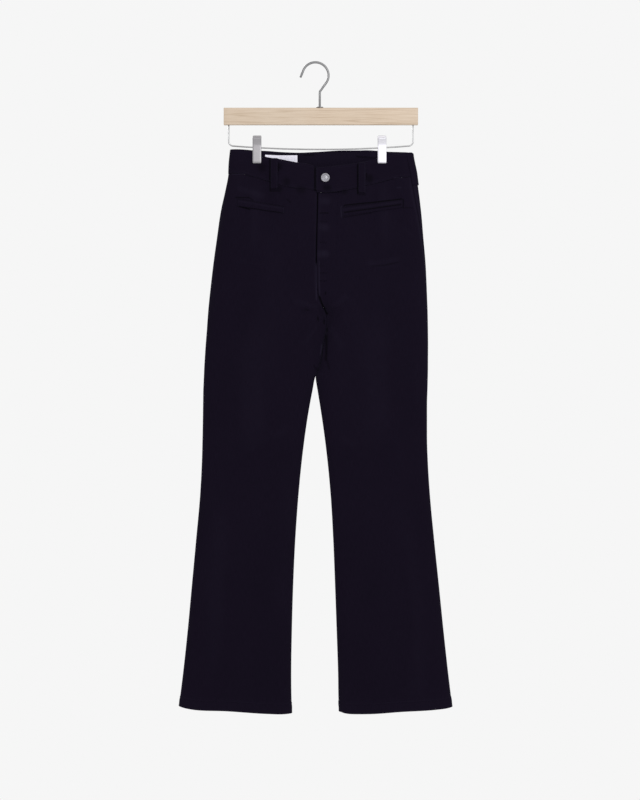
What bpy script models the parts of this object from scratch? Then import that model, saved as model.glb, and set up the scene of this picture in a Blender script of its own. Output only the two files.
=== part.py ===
"""Bootcut jeans clipped by the waistband to a wooden bar hanger.

Metres, +Z up. The origin is the inner top of the hook's crook, where a rod carries the hanger.
+X runs to the viewer's right, +Y away from the viewer. Heights are given as depths below the origin.
"""

import math

import bmesh
import bpy
import numpy as np
from mathutils import Vector
from mathutils.bvhtree import BVHTree

# ---- Driving dimensions: hanger ----
HOOK_WIRE = 0.0048  # diameter
HOOK_CROOK_RADIUS = 0.0270  # to the middle of the wire
HOOK_ARC_FROM = 158.0  # degrees, the crook's free end
HOOK_ARC_TO = -36.0  # degrees, where the lower leg leaves the crook
HOOK_TIP_LENGTH = 0.0155  # straight end past the arc
HOOK_SHAFT_X = 0.0090
HOOK_BEND_RADIUS = 0.0060
BAR_LENGTH, BAR_THICKNESS, BAR_HEIGHT = 0.400, 0.012, 0.035
BAR_CENTRE_X = 0.0113
BAR_TOP = 0.0918  # depth of the bar's top face
BAR_EDGE = 0.0011  # rounding of its long edges
COLLAR_RADIUS, COLLAR_HEIGHT = 0.0076, 0.0019
FRAME_WIRE = 0.0030  # diameter of the wire below the bar
FRAME_HALF_WIDTH = 0.1897
FRAME_CORNER_RADIUS = 0.0090
FRAME_BOTTOM = 0.1700  # depth of the wire at its corners
FRAME_SAG = 0.0070
CLIP_X = (-0.1203, 0.1372)
CLIP_WIDTH = 0.0178
CLIP_SHEET = 0.0010
CLIP_CORNER = 0.0022
CLIP_JAW = 0.2060  # depth of the jaws' lower edge
CLIP_FRONT_TOP, CLIP_BACK_TOP = 0.1535, 0.1472
CLIP_BEND = 0.1660  # depth where the levers start to lean apart
CLIP_BEND_LENGTH = 0.0030
CLIP_LEAN, CLIP_CURL = 0.0052, 1.3  # how far a lever leans, and how much of it near its end
CLIP_LEVER_ROWS, CLIP_PLATE_ROWS = (0.45, 0.75), (0.1800, 0.1940)
CLIP_CHEEK_RADIUS, CLIP_CHEEK = 0.0036, 0.0009  # the ears that hold the plates to the wire
CLIP_CHEEK_OFFSET = 0.0004  # from the wire towards the ear's own plate
CLIP_PLAY = 0.0008  # room round the wire, which slopes a little inside the clip
SPRING_RADIUS, SPRING_LENGTH = 0.0033, 0.0124

# ---- Driving dimensions: cloth ----
SEAM_GAP = 0.0003
CLOTH = 0.0017  # wall of the panels
BAND = 0.0030  # wall of the waistband: two layers and their turnings
BAND_PROUD = 0.0006  # the waistband's face stands this far out of the panels
HEM_DEPTH_FROM_EDGE = 0.0220
HEM_PROUD = 0.0007
HEM_WALL = 0.0027
PINCH = 0.0028  # half thickness of the two panels where a clip holds them
PINCH_FLAT, PINCH_REACH = 0.0125, 0.0480  # half widths of the pinched part and of the folds around it
PINCH_FULL, PINCH_GONE = 0.2100, 0.3350  # depths between which the pinch fades
SIDE_PINCH = 0.50  # share of the pinch that stays outside the clips
CROTCH = 0.5050
CLEFT_TOP = 0.4150
LAST_BUTT = 0.5030  # lowest section where left and right meet on the centre seam
CROTCH_ROUND = 0.0560  # depth over which the inner edge turns from a crease into a round fold
BUTTON_X, BUTTON_DEPTH = 0.0204, 0.2371
BUTTON_POST = 0.0034
BUTTON_PROFILE = (  # radius and height: post, cap and raised rim
    (0, 0), (BUTTON_POST, 0), (BUTTON_POST, 0.0016), (0.0084, 0.0018), (0.0090, 0.0026), (0.0090, 0.0034),
    (0.0086, 0.0041), (0.0079, 0.0043), (0.0073, 0.0038), (0.0050, 0.0041), (0, 0.0044),
)
UNDERLAP_END = 0.0300  # x where the left waistband ends beneath the right one
OVERLAP_START = 0.0028
OVERLAP_RISE = 0.0034
OVERLAP_FLAT, OVERLAP_GONE = 0.0360, 0.0720  # x between which the overlap sinks to the panel
FLY_RISE = 0.0013
FLY_WIDTH, FLY_FLAT = 0.0400, 0.70  # the overlap, and the share of it that lies level
FLY_END, FLY_FADE = 0.4250, 0.0300
SHIELD_TOP, SHIELD_BOTTOM = 0.2720, 0.4130
SHIELD_FROM, SHIELD_TO = -0.0100, 0.0380
LOOP_CLOTH, LOOP_WIDTH, LOOP_BOW = 0.0022, 0.0155, 0.0022
LOOP_TACK = 0.16  # share of a loop's length that is sewn down at each end
SIDE_LOOP_ROOM = 0.0004  # more room where a loop wraps round the side
WELT_CLOTH, WELT_LIFT = 0.0013, 0.0004
TRIM_SPREAD = (0.0012, 0.0026)  # how far across and down trim looks for cloth that it must clear
LABEL_THICKNESS = 0.0008
LABEL_FROM, LABEL_TO, LABEL_TOP, LABEL_BOTTOM = -0.1035, -0.0373, 0.1880, 0.2140
BAND_MIDDLE = 0.1950  # a depth inside the waistband all the way round

# The photo's outline, section by section: the silhouette edges and the inner edges of the legs.
# Above the crotch both inner edges are the centre front seam.
OUTLINE_COLUMNS = ("depth", "left", "inner_left", "inner_right", "right")
OUTLINE = (
    (0.1750, -0.1750, 0.0025, 0.0025, 0.1985),
    (0.2030, -0.1782, 0.0025, 0.0025, 0.2030),
    (0.2280, -0.1792, 0.0030, 0.0030, 0.2080),
    (0.2610, -0.1854, 0.0058, 0.0058, 0.2124),
    (0.3020, -0.1943, 0.0050, 0.0050, 0.2175),
    (0.3640, -0.2033, 0.0036, 0.0036, 0.2229),
    (0.4250, -0.2114, 0.0028, 0.0028, 0.2276),
    (0.4870, -0.2185, 0.0080, 0.0080, 0.2303),
    (0.5050, -0.2203, 0.0180, 0.0180, 0.2310),
    (0.5300, -0.2222, 0.0232, 0.0232, 0.2316),
    (0.5550, -0.2240, 0.0215, 0.0215, 0.2320),
    (0.5800, -0.2260, 0.0162, 0.0162, 0.2322),
    (0.6110, -0.2280, 0.0115, 0.0115, 0.2320),
    (0.6300, -0.2291, 0.0058, 0.0058, 0.2319),
    (0.6450, -0.2297, 0.0000, 0.0004, 0.2316),
    (0.6725, -0.2309, -0.0056, 0.0042, 0.2309),
    (0.7035, -0.2314, -0.0115, 0.0092, 0.2300),
    (0.7655, -0.2324, -0.0212, 0.0183, 0.2300),
    (0.8270, -0.2341, -0.0287, 0.0256, 0.2320),
    (0.8890, -0.2375, -0.0346, 0.0312, 0.2360),
    (0.9816, -0.2458, -0.0412, 0.0366, 0.2447),
    (1.0743, -0.2544, -0.0455, 0.0403, 0.2544),
    (1.1670, -0.2630, -0.0482, 0.0436, 0.2638),
    (1.2597, -0.2730, -0.0496, 0.0466, 0.2740),
    (1.3100, -0.2793, -0.0490, 0.0474, 0.2801),
    (1.3420, -0.2834, -0.0480, 0.0490, 0.2842),
)
# How far the cloth stands off the garment's middle plane, and how wide its rounded edges are.
FULLNESS_COLUMNS = ("depth", "front", "back", "side_round", "inner_round")
FULLNESS = (
    (0.1750, 0.0120, 0.0125, 0.0230, 0.0300),
    (0.2300, 0.0138, 0.0150, 0.0260, 0.0300),
    (0.3000, 0.0162, 0.0185, 0.0320, 0.0300),
    (0.3900, 0.0180, 0.0215, 0.0370, 0.0340),
    (0.4700, 0.0172, 0.0205, 0.0370, 0.0400),
    (0.5300, 0.0155, 0.0180, 0.0360, 0.0420),
    (0.6400, 0.0136, 0.0152, 0.0330, 0.0330),
    (0.7700, 0.0120, 0.0132, 0.0300, 0.0270),
    (0.9000, 0.0110, 0.0118, 0.0270, 0.0250),
    (1.0700, 0.0118, 0.0128, 0.0280, 0.0260),
    (1.2300, 0.0134, 0.0144, 0.0310, 0.0290),
    (1.3420, 0.0146, 0.0152, 0.0340, 0.0310),
)
# Where the side seams lie on the ring: 0 is the silhouette, up to 1 at the centre front.
SEAM_COLUMNS = ("depth", "left", "right")
SIDE_SEAMS = (
    (0.1750, -0.150, 0.155),
    (0.2600, -0.120, 0.150),
    (0.3600, -0.060, 0.085),
    (0.4700, 0.000, 0.000),
    (1.3420, 0.000, 0.000),
)
CENTRE_BACK_COLUMNS = ("depth", "x")
CENTRE_BACK = ((0.1750, 0.0125), (0.3000, 0.0115), (0.4250, 0.0100), (0.4870, 0.0125), (0.5050, 0.0180))
# The waistband's upper and lower edges, along x.
BAND_COLUMNS = ("x", "depth")
TOP_FRONT_LEFT = (
    (-0.1900, 0.1772), (-0.1740, 0.1772), (-0.1306, 0.1790), (-0.1073, 0.1906), (-0.0694, 0.1988),
    (-0.0352, 0.2056), (-0.0120, 0.2092), (-0.0045, 0.2122), (-0.0015, 0.2160), (0.0400, 0.2180),
)
TOP_FRONT_RIGHT = (
    (0.0000, 0.2172), (0.0040, 0.2153), (0.0198, 0.2150), (0.0507, 0.2112), (0.0939, 0.2045),
    (0.1259, 0.1967), (0.1454, 0.1906), (0.1720, 0.1868), (0.1990, 0.1835), (0.2200, 0.1835),
)
TOP_BACK = (
    (-0.1900, 0.1772), (-0.1740, 0.1772), (-0.1306, 0.1790), (-0.0900, 0.1800), (-0.0358, 0.1822),
    (-0.0030, 0.1810), (0.0610, 0.1776), (0.1000, 0.1776), (0.1248, 0.1794), (0.1496, 0.1815),
    (0.1866, 0.1820), (0.1990, 0.1835), (0.2200, 0.1835),
)
SEAM_FRONT_LEFT = (
    (-0.2000, 0.2272), (-0.1780, 0.2272), (-0.1570, 0.2276), (-0.1200, 0.2356), (-0.0830, 0.2482),
    (-0.0440, 0.2575), (-0.0210, 0.2592), (0.0050, 0.2630), (0.0400, 0.2640),
)
SEAM_FRONT_RIGHT = (
    (0.0000, 0.2672), (0.0200, 0.2676), (0.0710, 0.2606), (0.1200, 0.2485), (0.1700, 0.2362),
    (0.2070, 0.2338), (0.2200, 0.2338),
)
SEAM_BACK = (
    (-0.2000, 0.2272), (-0.1780, 0.2272), (-0.0900, 0.2305), (0.0125, 0.2325), (0.1200, 0.2330),
    (0.2070, 0.2338), (0.2200, 0.2338),
)
HEM_EDGE = (
    (-0.2840, 1.3225), (-0.2790, 1.3240), (-0.2520, 1.3292), (-0.1820, 1.3325), (-0.1020, 1.3378),
    (-0.0700, 1.3388), (-0.0480, 1.3380), (0.0490, 1.3345), (0.0600, 1.3370), (0.0900, 1.3385),
    (0.1145, 1.3382), (0.1745, 1.3340), (0.2525, 1.3290), (0.2790, 1.3255), (0.2850, 1.3240),
)
# Rows of the panels below the waistband seam. The first few blend from the seam's curve.
BLEND_SHARES = (0.0, 0.18, 0.38, 0.58, 0.80)
SECTIONS = (
    0.3120, 0.3350, 0.3600, 0.3930, 0.4250, 0.4500, 0.4720, 0.4880, 0.4970, LAST_BUTT, CROTCH, 0.5130,
    0.5300, 0.5550, 0.5800, 0.6110, 0.6300, 0.6450, 0.6725, 0.7035, 0.7655, 0.8270, 0.8890, 0.9350,
    0.9816, 1.0280, 1.0743, 1.1200, 1.1670, 1.2130, 1.2597,
)
SETTLE = 4  # rounds in which the depth of a curved edge and its x are brought together
PANEL_COLUMNS = 17
BAND_ROWS = 4
LOOP_ROWS, LOOP_COLUMNS, SIDE_LOOP_COLUMNS = 12, 4, 6
WELT_ROWS, WELT_COLUMNS = 4, 20
SHIELD_ROWS, SHIELD_COLUMNS = 12, 8
LABEL_ROWS, LABEL_COLUMNS = 4, 12
BAND_SIDE_STEPS, BAND_SIDE_TURN = 6, 0.20  # columns round the side, and the turn where they end
BAND_FROM_CLIP = (-0.0240, -0.0118, 0.0118, 0.0220, 0.0330, 0.0460)  # columns beside the clip, towards the centre
BAND_CENTRE_STEPS = 5
TURN_PROBE, NEAR_END = 0.002, 0.996  # a small step round the ring, and a place just before its end
RAY_FROM, SIDE_RAY_FROM = 0.200, 0.020  # how far off the cloth a line starts that looks for it
RETRIES = (0, 0.0003, 0.0006, 0.0015, 0.0030, 0.0050)  # steps down after a line that slipped past the cloth
# Pocket welts: corners as x and depth, from the inner end to the outer one.
WELTS = {
    "left": {"inner_x": -0.0640, "inner": (0.2966, 0.3104), "outer_x": -0.1600, "outer": (0.2795, 0.2958)},
    "right": {"inner_x": 0.0552, "inner": (0.2972, 0.3164), "outer_x": 0.1790, "outer": (0.2808, 0.2978)},
}
# Belt loops: x on a face, or the turn at a side, and the depths of their ends.
FLAT_LOOPS = {
    "loop_front_left": {"x": -0.0851, "top": 0.1962, "bottom": 0.2602},
    "loop_front_right": {"x": 0.0954, "top": 0.2052, "bottom": 0.2686},
    "loop_back": {"x": 0.0125, "top": 0.1828, "bottom": 0.2450, "face": "back"},
}
SIDE_LOOPS = {
    "loop_side_left": {"side": "left", "turn": -0.125, "top": 0.1785, "bottom": 0.2420},
    "loop_side_right": {"side": "right", "turn": 0.085, "top": 0.1850, "bottom": 0.2512},
}

COLOURS = {
    "denim": ((0.0070, 0.0062, 0.0160), 0.85, 0.0),
    "label": ((0.78, 0.76, 0.80), 0.8, 0.0),
    "wood": ((0.66, 0.52, 0.38), 0.5, 0.0),
    "steel": ((0.45, 0.45, 0.46), 0.3, 1.0),
    "clip": ((0.78, 0.78, 0.80), 0.28, 1.0),
    "button": ((0.60, 0.59, 0.62), 0.3, 1.0),
}


# ---- Curves through the tables ----
def smooth(share):
    share = min(1.0, max(0.0, share))
    return share * share * (3 - 2 * share)


def curve(rows, columns, name):
    """A smooth function through one named column of a table, over its first column."""
    at = np.array([row[0] for row in rows], float)
    value = np.array([row[columns.index(name)] for row in rows], float)
    slope = np.gradient(value, at)
    for i in range(1, len(at) - 1):
        before = (value[i] - value[i - 1]) / (at[i] - at[i - 1])
        after = (value[i + 1] - value[i]) / (at[i + 1] - at[i])
        if before * after <= 0:
            slope[i] = 0.0
        else:
            slope[i] = math.copysign(min(abs(slope[i]), 3 * abs(before), 3 * abs(after)), slope[i])

    def through(x):
        x = min(at[-1], max(at[0], x))
        i = min(len(at) - 2, max(0, int(np.searchsorted(at, x)) - 1))
        step = at[i + 1] - at[i]
        t = (x - at[i]) / step
        low = (2 * t**3 - 3 * t**2 + 1) * value[i] + (t**3 - 2 * t**2 + t) * step * slope[i]
        high = (-2 * t**3 + 3 * t**2) * value[i + 1] + (t**3 - t**2) * step * slope[i + 1]
        return float(low + high)

    return through


outline = {name: curve(OUTLINE, OUTLINE_COLUMNS, name) for name in OUTLINE_COLUMNS[1:]}
fullness = {name: curve(FULLNESS, FULLNESS_COLUMNS, name) for name in FULLNESS_COLUMNS[1:]}
side_seam = {name: curve(SIDE_SEAMS, SEAM_COLUMNS, name) for name in SEAM_COLUMNS[1:]}
centre_back = curve(CENTRE_BACK, CENTRE_BACK_COLUMNS, "x")
hem_edge = curve(HEM_EDGE, BAND_COLUMNS, "depth")
band_top = {
    ("left", "front"): curve(TOP_FRONT_LEFT, BAND_COLUMNS, "depth"),
    ("right", "front"): curve(TOP_FRONT_RIGHT, BAND_COLUMNS, "depth"),
    ("left", "back"): curve(TOP_BACK, BAND_COLUMNS, "depth"),
    ("right", "back"): curve(TOP_BACK, BAND_COLUMNS, "depth"),
}
band_seam = {
    ("left", "front"): curve(SEAM_FRONT_LEFT, BAND_COLUMNS, "depth"),
    ("right", "front"): curve(SEAM_FRONT_RIGHT, BAND_COLUMNS, "depth"),
    ("left", "back"): curve(SEAM_BACK, BAND_COLUMNS, "depth"),
    ("right", "back"): curve(SEAM_BACK, BAND_COLUMNS, "depth"),
}


# ---- The cloth's form ----
def inner_edge(side, face, depth):
    """x of the centre seam above the crotch, and of the leg's inner edge below it."""
    half_gap = SEAM_GAP / 2 if side == "right" else -SEAM_GAP / 2
    if face == "back" and depth < CROTCH:
        return centre_back(depth) + half_gap
    return outline["inner_" + side](depth) + half_gap


def pinch(x, depth):
    """1 where a clip holds the cloth, falling to 0 around and below it."""
    fade = 1 - smooth((depth - PINCH_FULL) / (PINCH_GONE - PINCH_FULL))
    share = 0.0
    for clip_x in CLIP_X:
        away = smooth((abs(x - clip_x) - PINCH_FLAT) / (PINCH_REACH - PINCH_FLAT))
        outside = abs(x) > abs(clip_x)
        share = max(share, 1 - away * (1 - SIDE_PINCH if outside else 1))
    return share * fade


def cloth_half(side, face, x, depth):
    """Half thickness of the garment here, the roundings at its two edges, and how far the leg is closed."""
    from_side = abs(x - outline[side](depth)) / fullness["side_round"](depth)
    from_inner = abs(x - inner_edge(side, face, depth)) / fullness["inner_round"](depth)
    side_cos = max(0.0, 1 - from_side)
    side_sin = math.sqrt(1 - side_cos**2)
    inner_cos = max(0.0, 1 - from_inner)
    crease = 1 - 0.5 * smooth((depth - CROTCH) / CROTCH_ROUND)
    inner_sin = (1 - inner_cos**2) ** crease
    drop = min(1.0, max(0.0, (depth - CLEFT_TOP) / (CROTCH - CLEFT_TOP)))
    valley = 1 - math.sqrt(1 - drop**2)
    held = pinch(x, depth)
    half = side_sin * ((1 - held) * fullness[face](depth) + held * PINCH)
    half *= 1 - valley * (1 - inner_sin)
    if face == "front" and side == "right":
        half += fly_rise(x, depth)
    return half, side_cos, side_sin, inner_cos, inner_sin


def fly_rise(x, depth):
    """The fly's overlap stands proud beside the centre front, on the right."""
    inside = x - outline["inner_right"](depth)
    across = 1 - smooth((inside / FLY_WIDTH - FLY_FLAT) / (1 - FLY_FLAT))
    down = 1 - smooth((depth - FLY_END + FLY_FADE) / FLY_FADE)
    return FLY_RISE * across * down


def overlap_rise(x):
    return OVERLAP_RISE * (1 - smooth((x - OVERLAP_FLAT) / (OVERLAP_GONE - OVERLAP_FLAT)))


def ring_x(side, turn, depth, end_x=None):
    """turn runs from 1 at the centre front, through 0 at the silhouette, to -1 at the centre back."""
    face = "front" if turn >= 0 else "back"
    outer_x = outline[side](depth)
    inner_x = inner_edge(side, face, depth) if end_x is None or face == "back" else end_x
    return outer_x + (inner_x - outer_x) * (1 - math.cos(math.pi * abs(turn))) / 2


def wall_points(side, turn, depth, wall, proud=0.0, end_x=None):
    """The outer and inner points of the cloth wall at one place."""
    face = "front" if turn >= 0 else "back"
    outward = -1.0 if face == "front" else 1.0
    inward_x = 1.0 if side == "left" else -1.0
    x = ring_x(side, turn, depth, end_x)
    half, side_cos, side_sin, inner_cos, inner_sin = cloth_half(side, face, x, depth)
    closed = 1.0 if depth >= CROTCH else 0.0
    across = side_cos - closed * inner_cos
    through = side_sin * (1 - closed * (1 - inner_sin))
    outer = np.array((x - inward_x * across * proud, outward * (half + through * proud), -depth))
    inner = outer + wall * np.array((inward_x * across, -outward * through, 0.0))
    return outer, inner


def turn_for(side, face, x, depth, end_x=None):
    """The turn that lies at x on a face."""
    outer_x = outline[side](depth)
    inner_x = inner_edge(side, face, depth) if end_x is None else end_x
    share = min(1.0, max(0.0, (x - outer_x) / (inner_x - outer_x)))
    return math.copysign(math.acos(1 - 2 * share) / math.pi, 1 if face == "front" else -1)


def half_gap_turn(side, turn, depth):
    """Half a seam gap, as a step round the ring."""
    here, _ = wall_points(side, turn + TURN_PROBE / 2, depth, 0.0)
    there, _ = wall_points(side, turn - TURN_PROBE / 2, depth, 0.0)
    return SEAM_GAP / 2 * TURN_PROBE / float(np.linalg.norm(here - there))


def panel_turns(side, face, depth, count):
    """Places round the ring, from the side seam to the centre seam or the inseam."""
    seam = side_seam[side](depth)
    end = 1.0 if face == "front" else -1.0
    start = seam + math.copysign(half_gap_turn(side, seam, depth), end)
    if depth >= CROTCH:
        end -= math.copysign(half_gap_turn(side, end * NEAR_END, depth), end)
    return [start + (end - start) * i / (count - 1) for i in range(count)]


# ---- Meshes and objects ----
def material(name):
    if name in bpy.data.materials:
        return bpy.data.materials[name]
    colour, roughness, metallic = COLOURS[name]
    made = bpy.data.materials.new(name)
    made.use_nodes = True
    shader = made.node_tree.nodes["Principled BSDF"]
    shader.inputs["Base Color"].default_value = (*colour, 1)
    shader.inputs["Roughness"].default_value = roughness
    shader.inputs["Metallic"].default_value = metallic
    return made


def finished(mesh, surface):
    mesh.materials.append(material(surface))
    mesh.shade_smooth()
    mesh.set_sharp_from_angle(angle=math.radians(35))
    return mesh


skins = {}  # the faces of finished cloth, for what lies on it


def mesh_of(name, points, faces, surface):
    skins[name] = BVHTree.FromPolygons([Vector(point) for point in points], faces)
    work = bmesh.new()
    corners = [work.verts.new(point) for point in points]
    for face in faces:
        work.faces.new([corners[i] for i in face])
    bmesh.ops.recalc_face_normals(work, faces=work.faces)
    mesh = bpy.data.meshes.new(name)
    work.to_mesh(mesh)
    work.free()
    return finished(mesh, surface)


def place(name, data, parent, location=(0, 0, 0), rotation=(0, 0, 0)):
    item = bpy.data.objects.new(name, data)
    bpy.context.scene.collection.objects.link(item)
    item.parent = parent
    item.location = location
    item.rotation_euler = rotation
    return item


def wall_mesh(name, outer, inner, surface):
    """A closed wall between two grids of points of the same size."""
    rows, columns = len(outer), len(outer[0])
    points = [p for grid in (outer, inner) for row in grid for p in row]
    layer = rows * columns

    def at(row, column):
        return row * columns + column

    faces = []
    for row in range(rows - 1):
        for column in range(columns - 1):
            quad = [at(row, column), at(row, column + 1), at(row + 1, column + 1), at(row + 1, column)]
            faces.append(quad)
            faces.append([i + layer for i in reversed(quad)])
    border = [at(0, c) for c in range(columns)]
    border += [at(r, columns - 1) for r in range(1, rows)]
    border += [at(rows - 1, c) for c in range(columns - 2, -1, -1)]
    border += [at(r, 0) for r in range(rows - 2, 0, -1)]
    for i, corner in enumerate(border):
        following = border[(i + 1) % len(border)]
        faces.append([following, corner, corner + layer, following + layer])
    return mesh_of(name, points, faces, surface)


def turned_mesh(name, profile, surface, steps=24):
    """A closed (radius, height) profile turned about Z. A profile that touches the axis starts and ends there."""
    points, rings, faces = [], [], []
    for radius, height in profile:
        if radius == 0:
            rings.append([len(points)])
            points.append((0, 0, height))
            continue
        rings.append([len(points) + i for i in range(steps)])
        for i in range(steps):
            angle = 2 * math.pi * i / steps
            points.append((radius * math.cos(angle), radius * math.sin(angle), height))
    pairs = list(zip(rings, rings[1:]))
    if len(rings[0]) > 1:
        pairs.append((rings[-1], rings[0]))
    for one, two in pairs:
        for i in range(steps):
            quad = [one[i % len(one)], one[(i + 1) % len(one)], two[(i + 1) % len(two)], two[i % len(two)]]
            faces.append(list(dict.fromkeys(quad)))
    return mesh_of(name, points, faces, surface)


def wire_curve(name, path, diameter, surface):
    line = bpy.data.curves.new(name, "CURVE")
    line.dimensions = "3D"
    line.bevel_depth = diameter / 2
    line.bevel_resolution = 3
    line.use_fill_caps = True
    spline = line.splines.new("POLY")
    spline.points.add(len(path) - 1)
    for point, place_at in zip(spline.points, path):
        point.co = (*place_at, 1)
    line.materials.append(material(surface))
    return line


def arc(centre_x, centre_z, radius, start, end, steps):
    """Points on an arc in the XZ plane, angles in degrees from +X towards +Z."""
    angles = [math.radians(start + (end - start) * i / steps) for i in range(steps + 1)]
    return [(centre_x + radius * math.cos(a), 0.0, centre_z + radius * math.sin(a)) for a in angles]


# ---- Panels ----
def leg_panel(name, side, face, parent):
    """One panel of cloth from the waistband seam to the hem, with the hem's fold as a thicker band."""
    rows = []
    first = SECTIONS[0]
    for share in BLEND_SHARES:
        row = []
        for i in range(PANEL_COLUMNS):
            depth = first
            for _ in range(SETTLE):
                turn = panel_turns(side, face, depth, PANEL_COLUMNS)[i]
                seam = band_seam[side, "front" if turn >= 0 else "back"](ring_x(side, turn, depth))
                top = seam + SEAM_GAP
                depth = top + share * (first - top)
            row.append(wall_points(side, turn, depth, CLOTH))
        rows.append(row)
    for depth in SECTIONS:
        turns = panel_turns(side, face, depth, PANEL_COLUMNS)
        rows.append([wall_points(side, turn, depth, CLOTH) for turn in turns])
    hem_rows = (
        (HEM_DEPTH_FROM_EDGE + 0.0010, CLOTH, 0.0),
        (HEM_DEPTH_FROM_EDGE, HEM_WALL, HEM_PROUD),
        (HEM_DEPTH_FROM_EDGE / 2, HEM_WALL, HEM_PROUD),
        (0.0, HEM_WALL, HEM_PROUD),
    )
    for above, wall, proud in hem_rows:
        row = []
        for i in range(PANEL_COLUMNS):
            depth = SECTIONS[-1]
            for _ in range(SETTLE):
                turn = panel_turns(side, face, depth, PANEL_COLUMNS)[i]
                depth = hem_edge(ring_x(side, turn, depth)) - above
            row.append(wall_points(side, turn, depth, wall, proud))
        rows.append(row)
    outer = [[pair[0] for pair in row] for row in rows]
    inner = [[pair[1] for pair in row] for row in rows]
    place(name, wall_mesh(name, outer, inner, "denim"), parent)


# ---- Waistband ----
def band_wall(side, turn, depth, end_x=None):
    outer, inner = wall_points(side, turn, depth, BAND, BAND_PROUD, end_x)
    if side == "right" and turn >= 0:
        rise = overlap_rise(outer[0]) - fly_rise(outer[0], depth)
        outer[1] -= rise
        inner[1] -= rise
    return outer, inner


def band_turns(side, face, end_x):
    """Places round the ring from the side seam to the band's end, closer together at the side and the clip."""
    depth = BAND_MIDDLE
    way = 1 if face == "front" else -1
    seam = side_seam[side](depth)
    start = seam + way * half_gap_turn(side, seam, depth)
    turns = [start + (way * BAND_SIDE_TURN - start) * i / BAND_SIDE_STEPS for i in range(BAND_SIDE_STEPS + 1)]
    clip_x = CLIP_X[0] if side == "left" else CLIP_X[1]
    inward = 1 if side == "left" else -1
    stops = [clip_x + inward * away for away in BAND_FROM_CLIP]
    last = inner_edge(side, face, depth) if end_x is None else end_x
    stops += [stops[-1] + (last - stops[-1]) * i / BAND_CENTRE_STEPS for i in range(1, BAND_CENTRE_STEPS + 1)]
    return turns + [turn_for(side, face, x, depth, end_x) for x in stops]


def band_rows(side, face_from_seam, end_x=None):
    """Rows of wall points from the upper edge to the lower seam."""
    rows = []
    for row_number in range(BAND_ROWS + 1):
        share = row_number / BAND_ROWS
        row = []
        for turn in band_turns(side, face_from_seam, end_x):
            face = "front" if turn >= 0 else "back"
            depth = BAND_MIDDLE
            for _ in range(SETTLE):
                x = ring_x(side, turn, depth, end_x)
                top, seam = band_top[side, face](x), band_seam[side, face](x)
                depth = top + share * (seam - top)
            row.append(band_wall(side, turn, depth, end_x))
        rows.append(row)
    return rows


def front_band(name, side, end_x, parent):
    rows = band_rows(side, "front", end_x)
    outer = [[pair[0] for pair in row] for row in rows]
    inner = [[pair[1] for pair in row] for row in rows]
    place(name, wall_mesh(name, outer, inner, "denim"), parent)


def back_band(name, parent):
    """One piece from side seam to side seam, made of the two halves' points."""
    halves = [band_rows(side, "back") for side in ("left", "right")]
    rows = [left[:-1] + right[::-1] for left, right in zip(*halves)]
    outer = [[pair[0] for pair in row] for row in rows]
    inner = [[pair[1] for pair in row] for row in rows]
    place(name, wall_mesh(name, outer, inner, "denim"), parent)


# ---- Trim that lies on the cloth ----
def touch(start, direction, layers):
    """Where a straight line first meets any of these pieces of cloth."""
    start, direction = Vector(start), Vector(direction).normalized()
    hits = [skins[layer].ray_cast(start, direction) for layer in layers]
    hits = [(distance, place_at) for place_at, _, _, distance in hits if place_at is not None]
    return min(hits, key=lambda hit: hit[0])[1] if hits else None


def outside_y(face, x, depth):
    """y of the cloth's outer surface. A line that slips through a seam's gap or over the edge is tried again below."""
    way = 1 if face == "back" else -1
    layers = [name for name in skins if name.startswith((face + "_", "waistband"))]
    for below in RETRIES:
        hit = touch((x + below / 20, way * RAY_FROM, -depth - below), (0, -way, 0), layers)
        if hit is not None and hit.y * way > 0:
            return hit.y
    raise ValueError("no cloth here")


def clear_y(face, x, depth, across, down):
    """y of the outermost cloth near a place, so that trim spans the small steps beside it."""
    near = [(0, 0), (across, 0), (-across, 0), (0, down), (0, -down)]
    found = [outside_y(face, x + dx, depth + dz) for dx, dz in near]
    return max(found) if face == "back" else min(found)


def inside_y(face, x, depth, layers):
    """y of the cloth's inner surface, met from the middle of the garment."""
    way = 1 if face == "back" else -1
    for aside in (0, SEAM_GAP, -SEAM_GAP, 2 * SEAM_GAP):
        hit = touch((x + aside, 0, -depth), (0, way, 0), layers)
        if hit is not None:
            return hit.y
    raise ValueError("no cloth here")


def face_strip(name, face, corners, thickness, lift, parent, rows, columns):
    """A strip on a face: corners(across, down) gives x and depth, lift(down) its clearance."""
    outward = 1 if face == "back" else -1
    outer, inner = [], []
    for row in range(rows + 1):
        down = row / rows
        outer_row, inner_row = [], []
        for column in range(columns + 1):
            x, depth = corners(column / columns, down)
            y = clear_y(face, x, depth, *TRIM_SPREAD) + outward * lift(down)
            inner_row.append((x, y, -depth))
            outer_row.append((x, y + outward * thickness, -depth))
        outer.append(outer_row)
        inner.append(inner_row)
    place(name, wall_mesh(name, outer, inner, "denim"), parent)


def loop_lift(down):
    """Sewn flat at both ends and bowed a little between them."""
    reach = (min(down, 1 - down) - LOOP_TACK) / (0.5 - LOOP_TACK)
    return SEAM_GAP + LOOP_BOW * smooth(reach)


def flat_loop(name, x, top, bottom, parent, face="front"):
    def corners(across, down):
        return x + (across - 0.5) * LOOP_WIDTH, top + down * (bottom - top)

    face_strip(name, face, corners, LOOP_CLOTH, loop_lift, parent, LOOP_ROWS, LOOP_COLUMNS)


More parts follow.
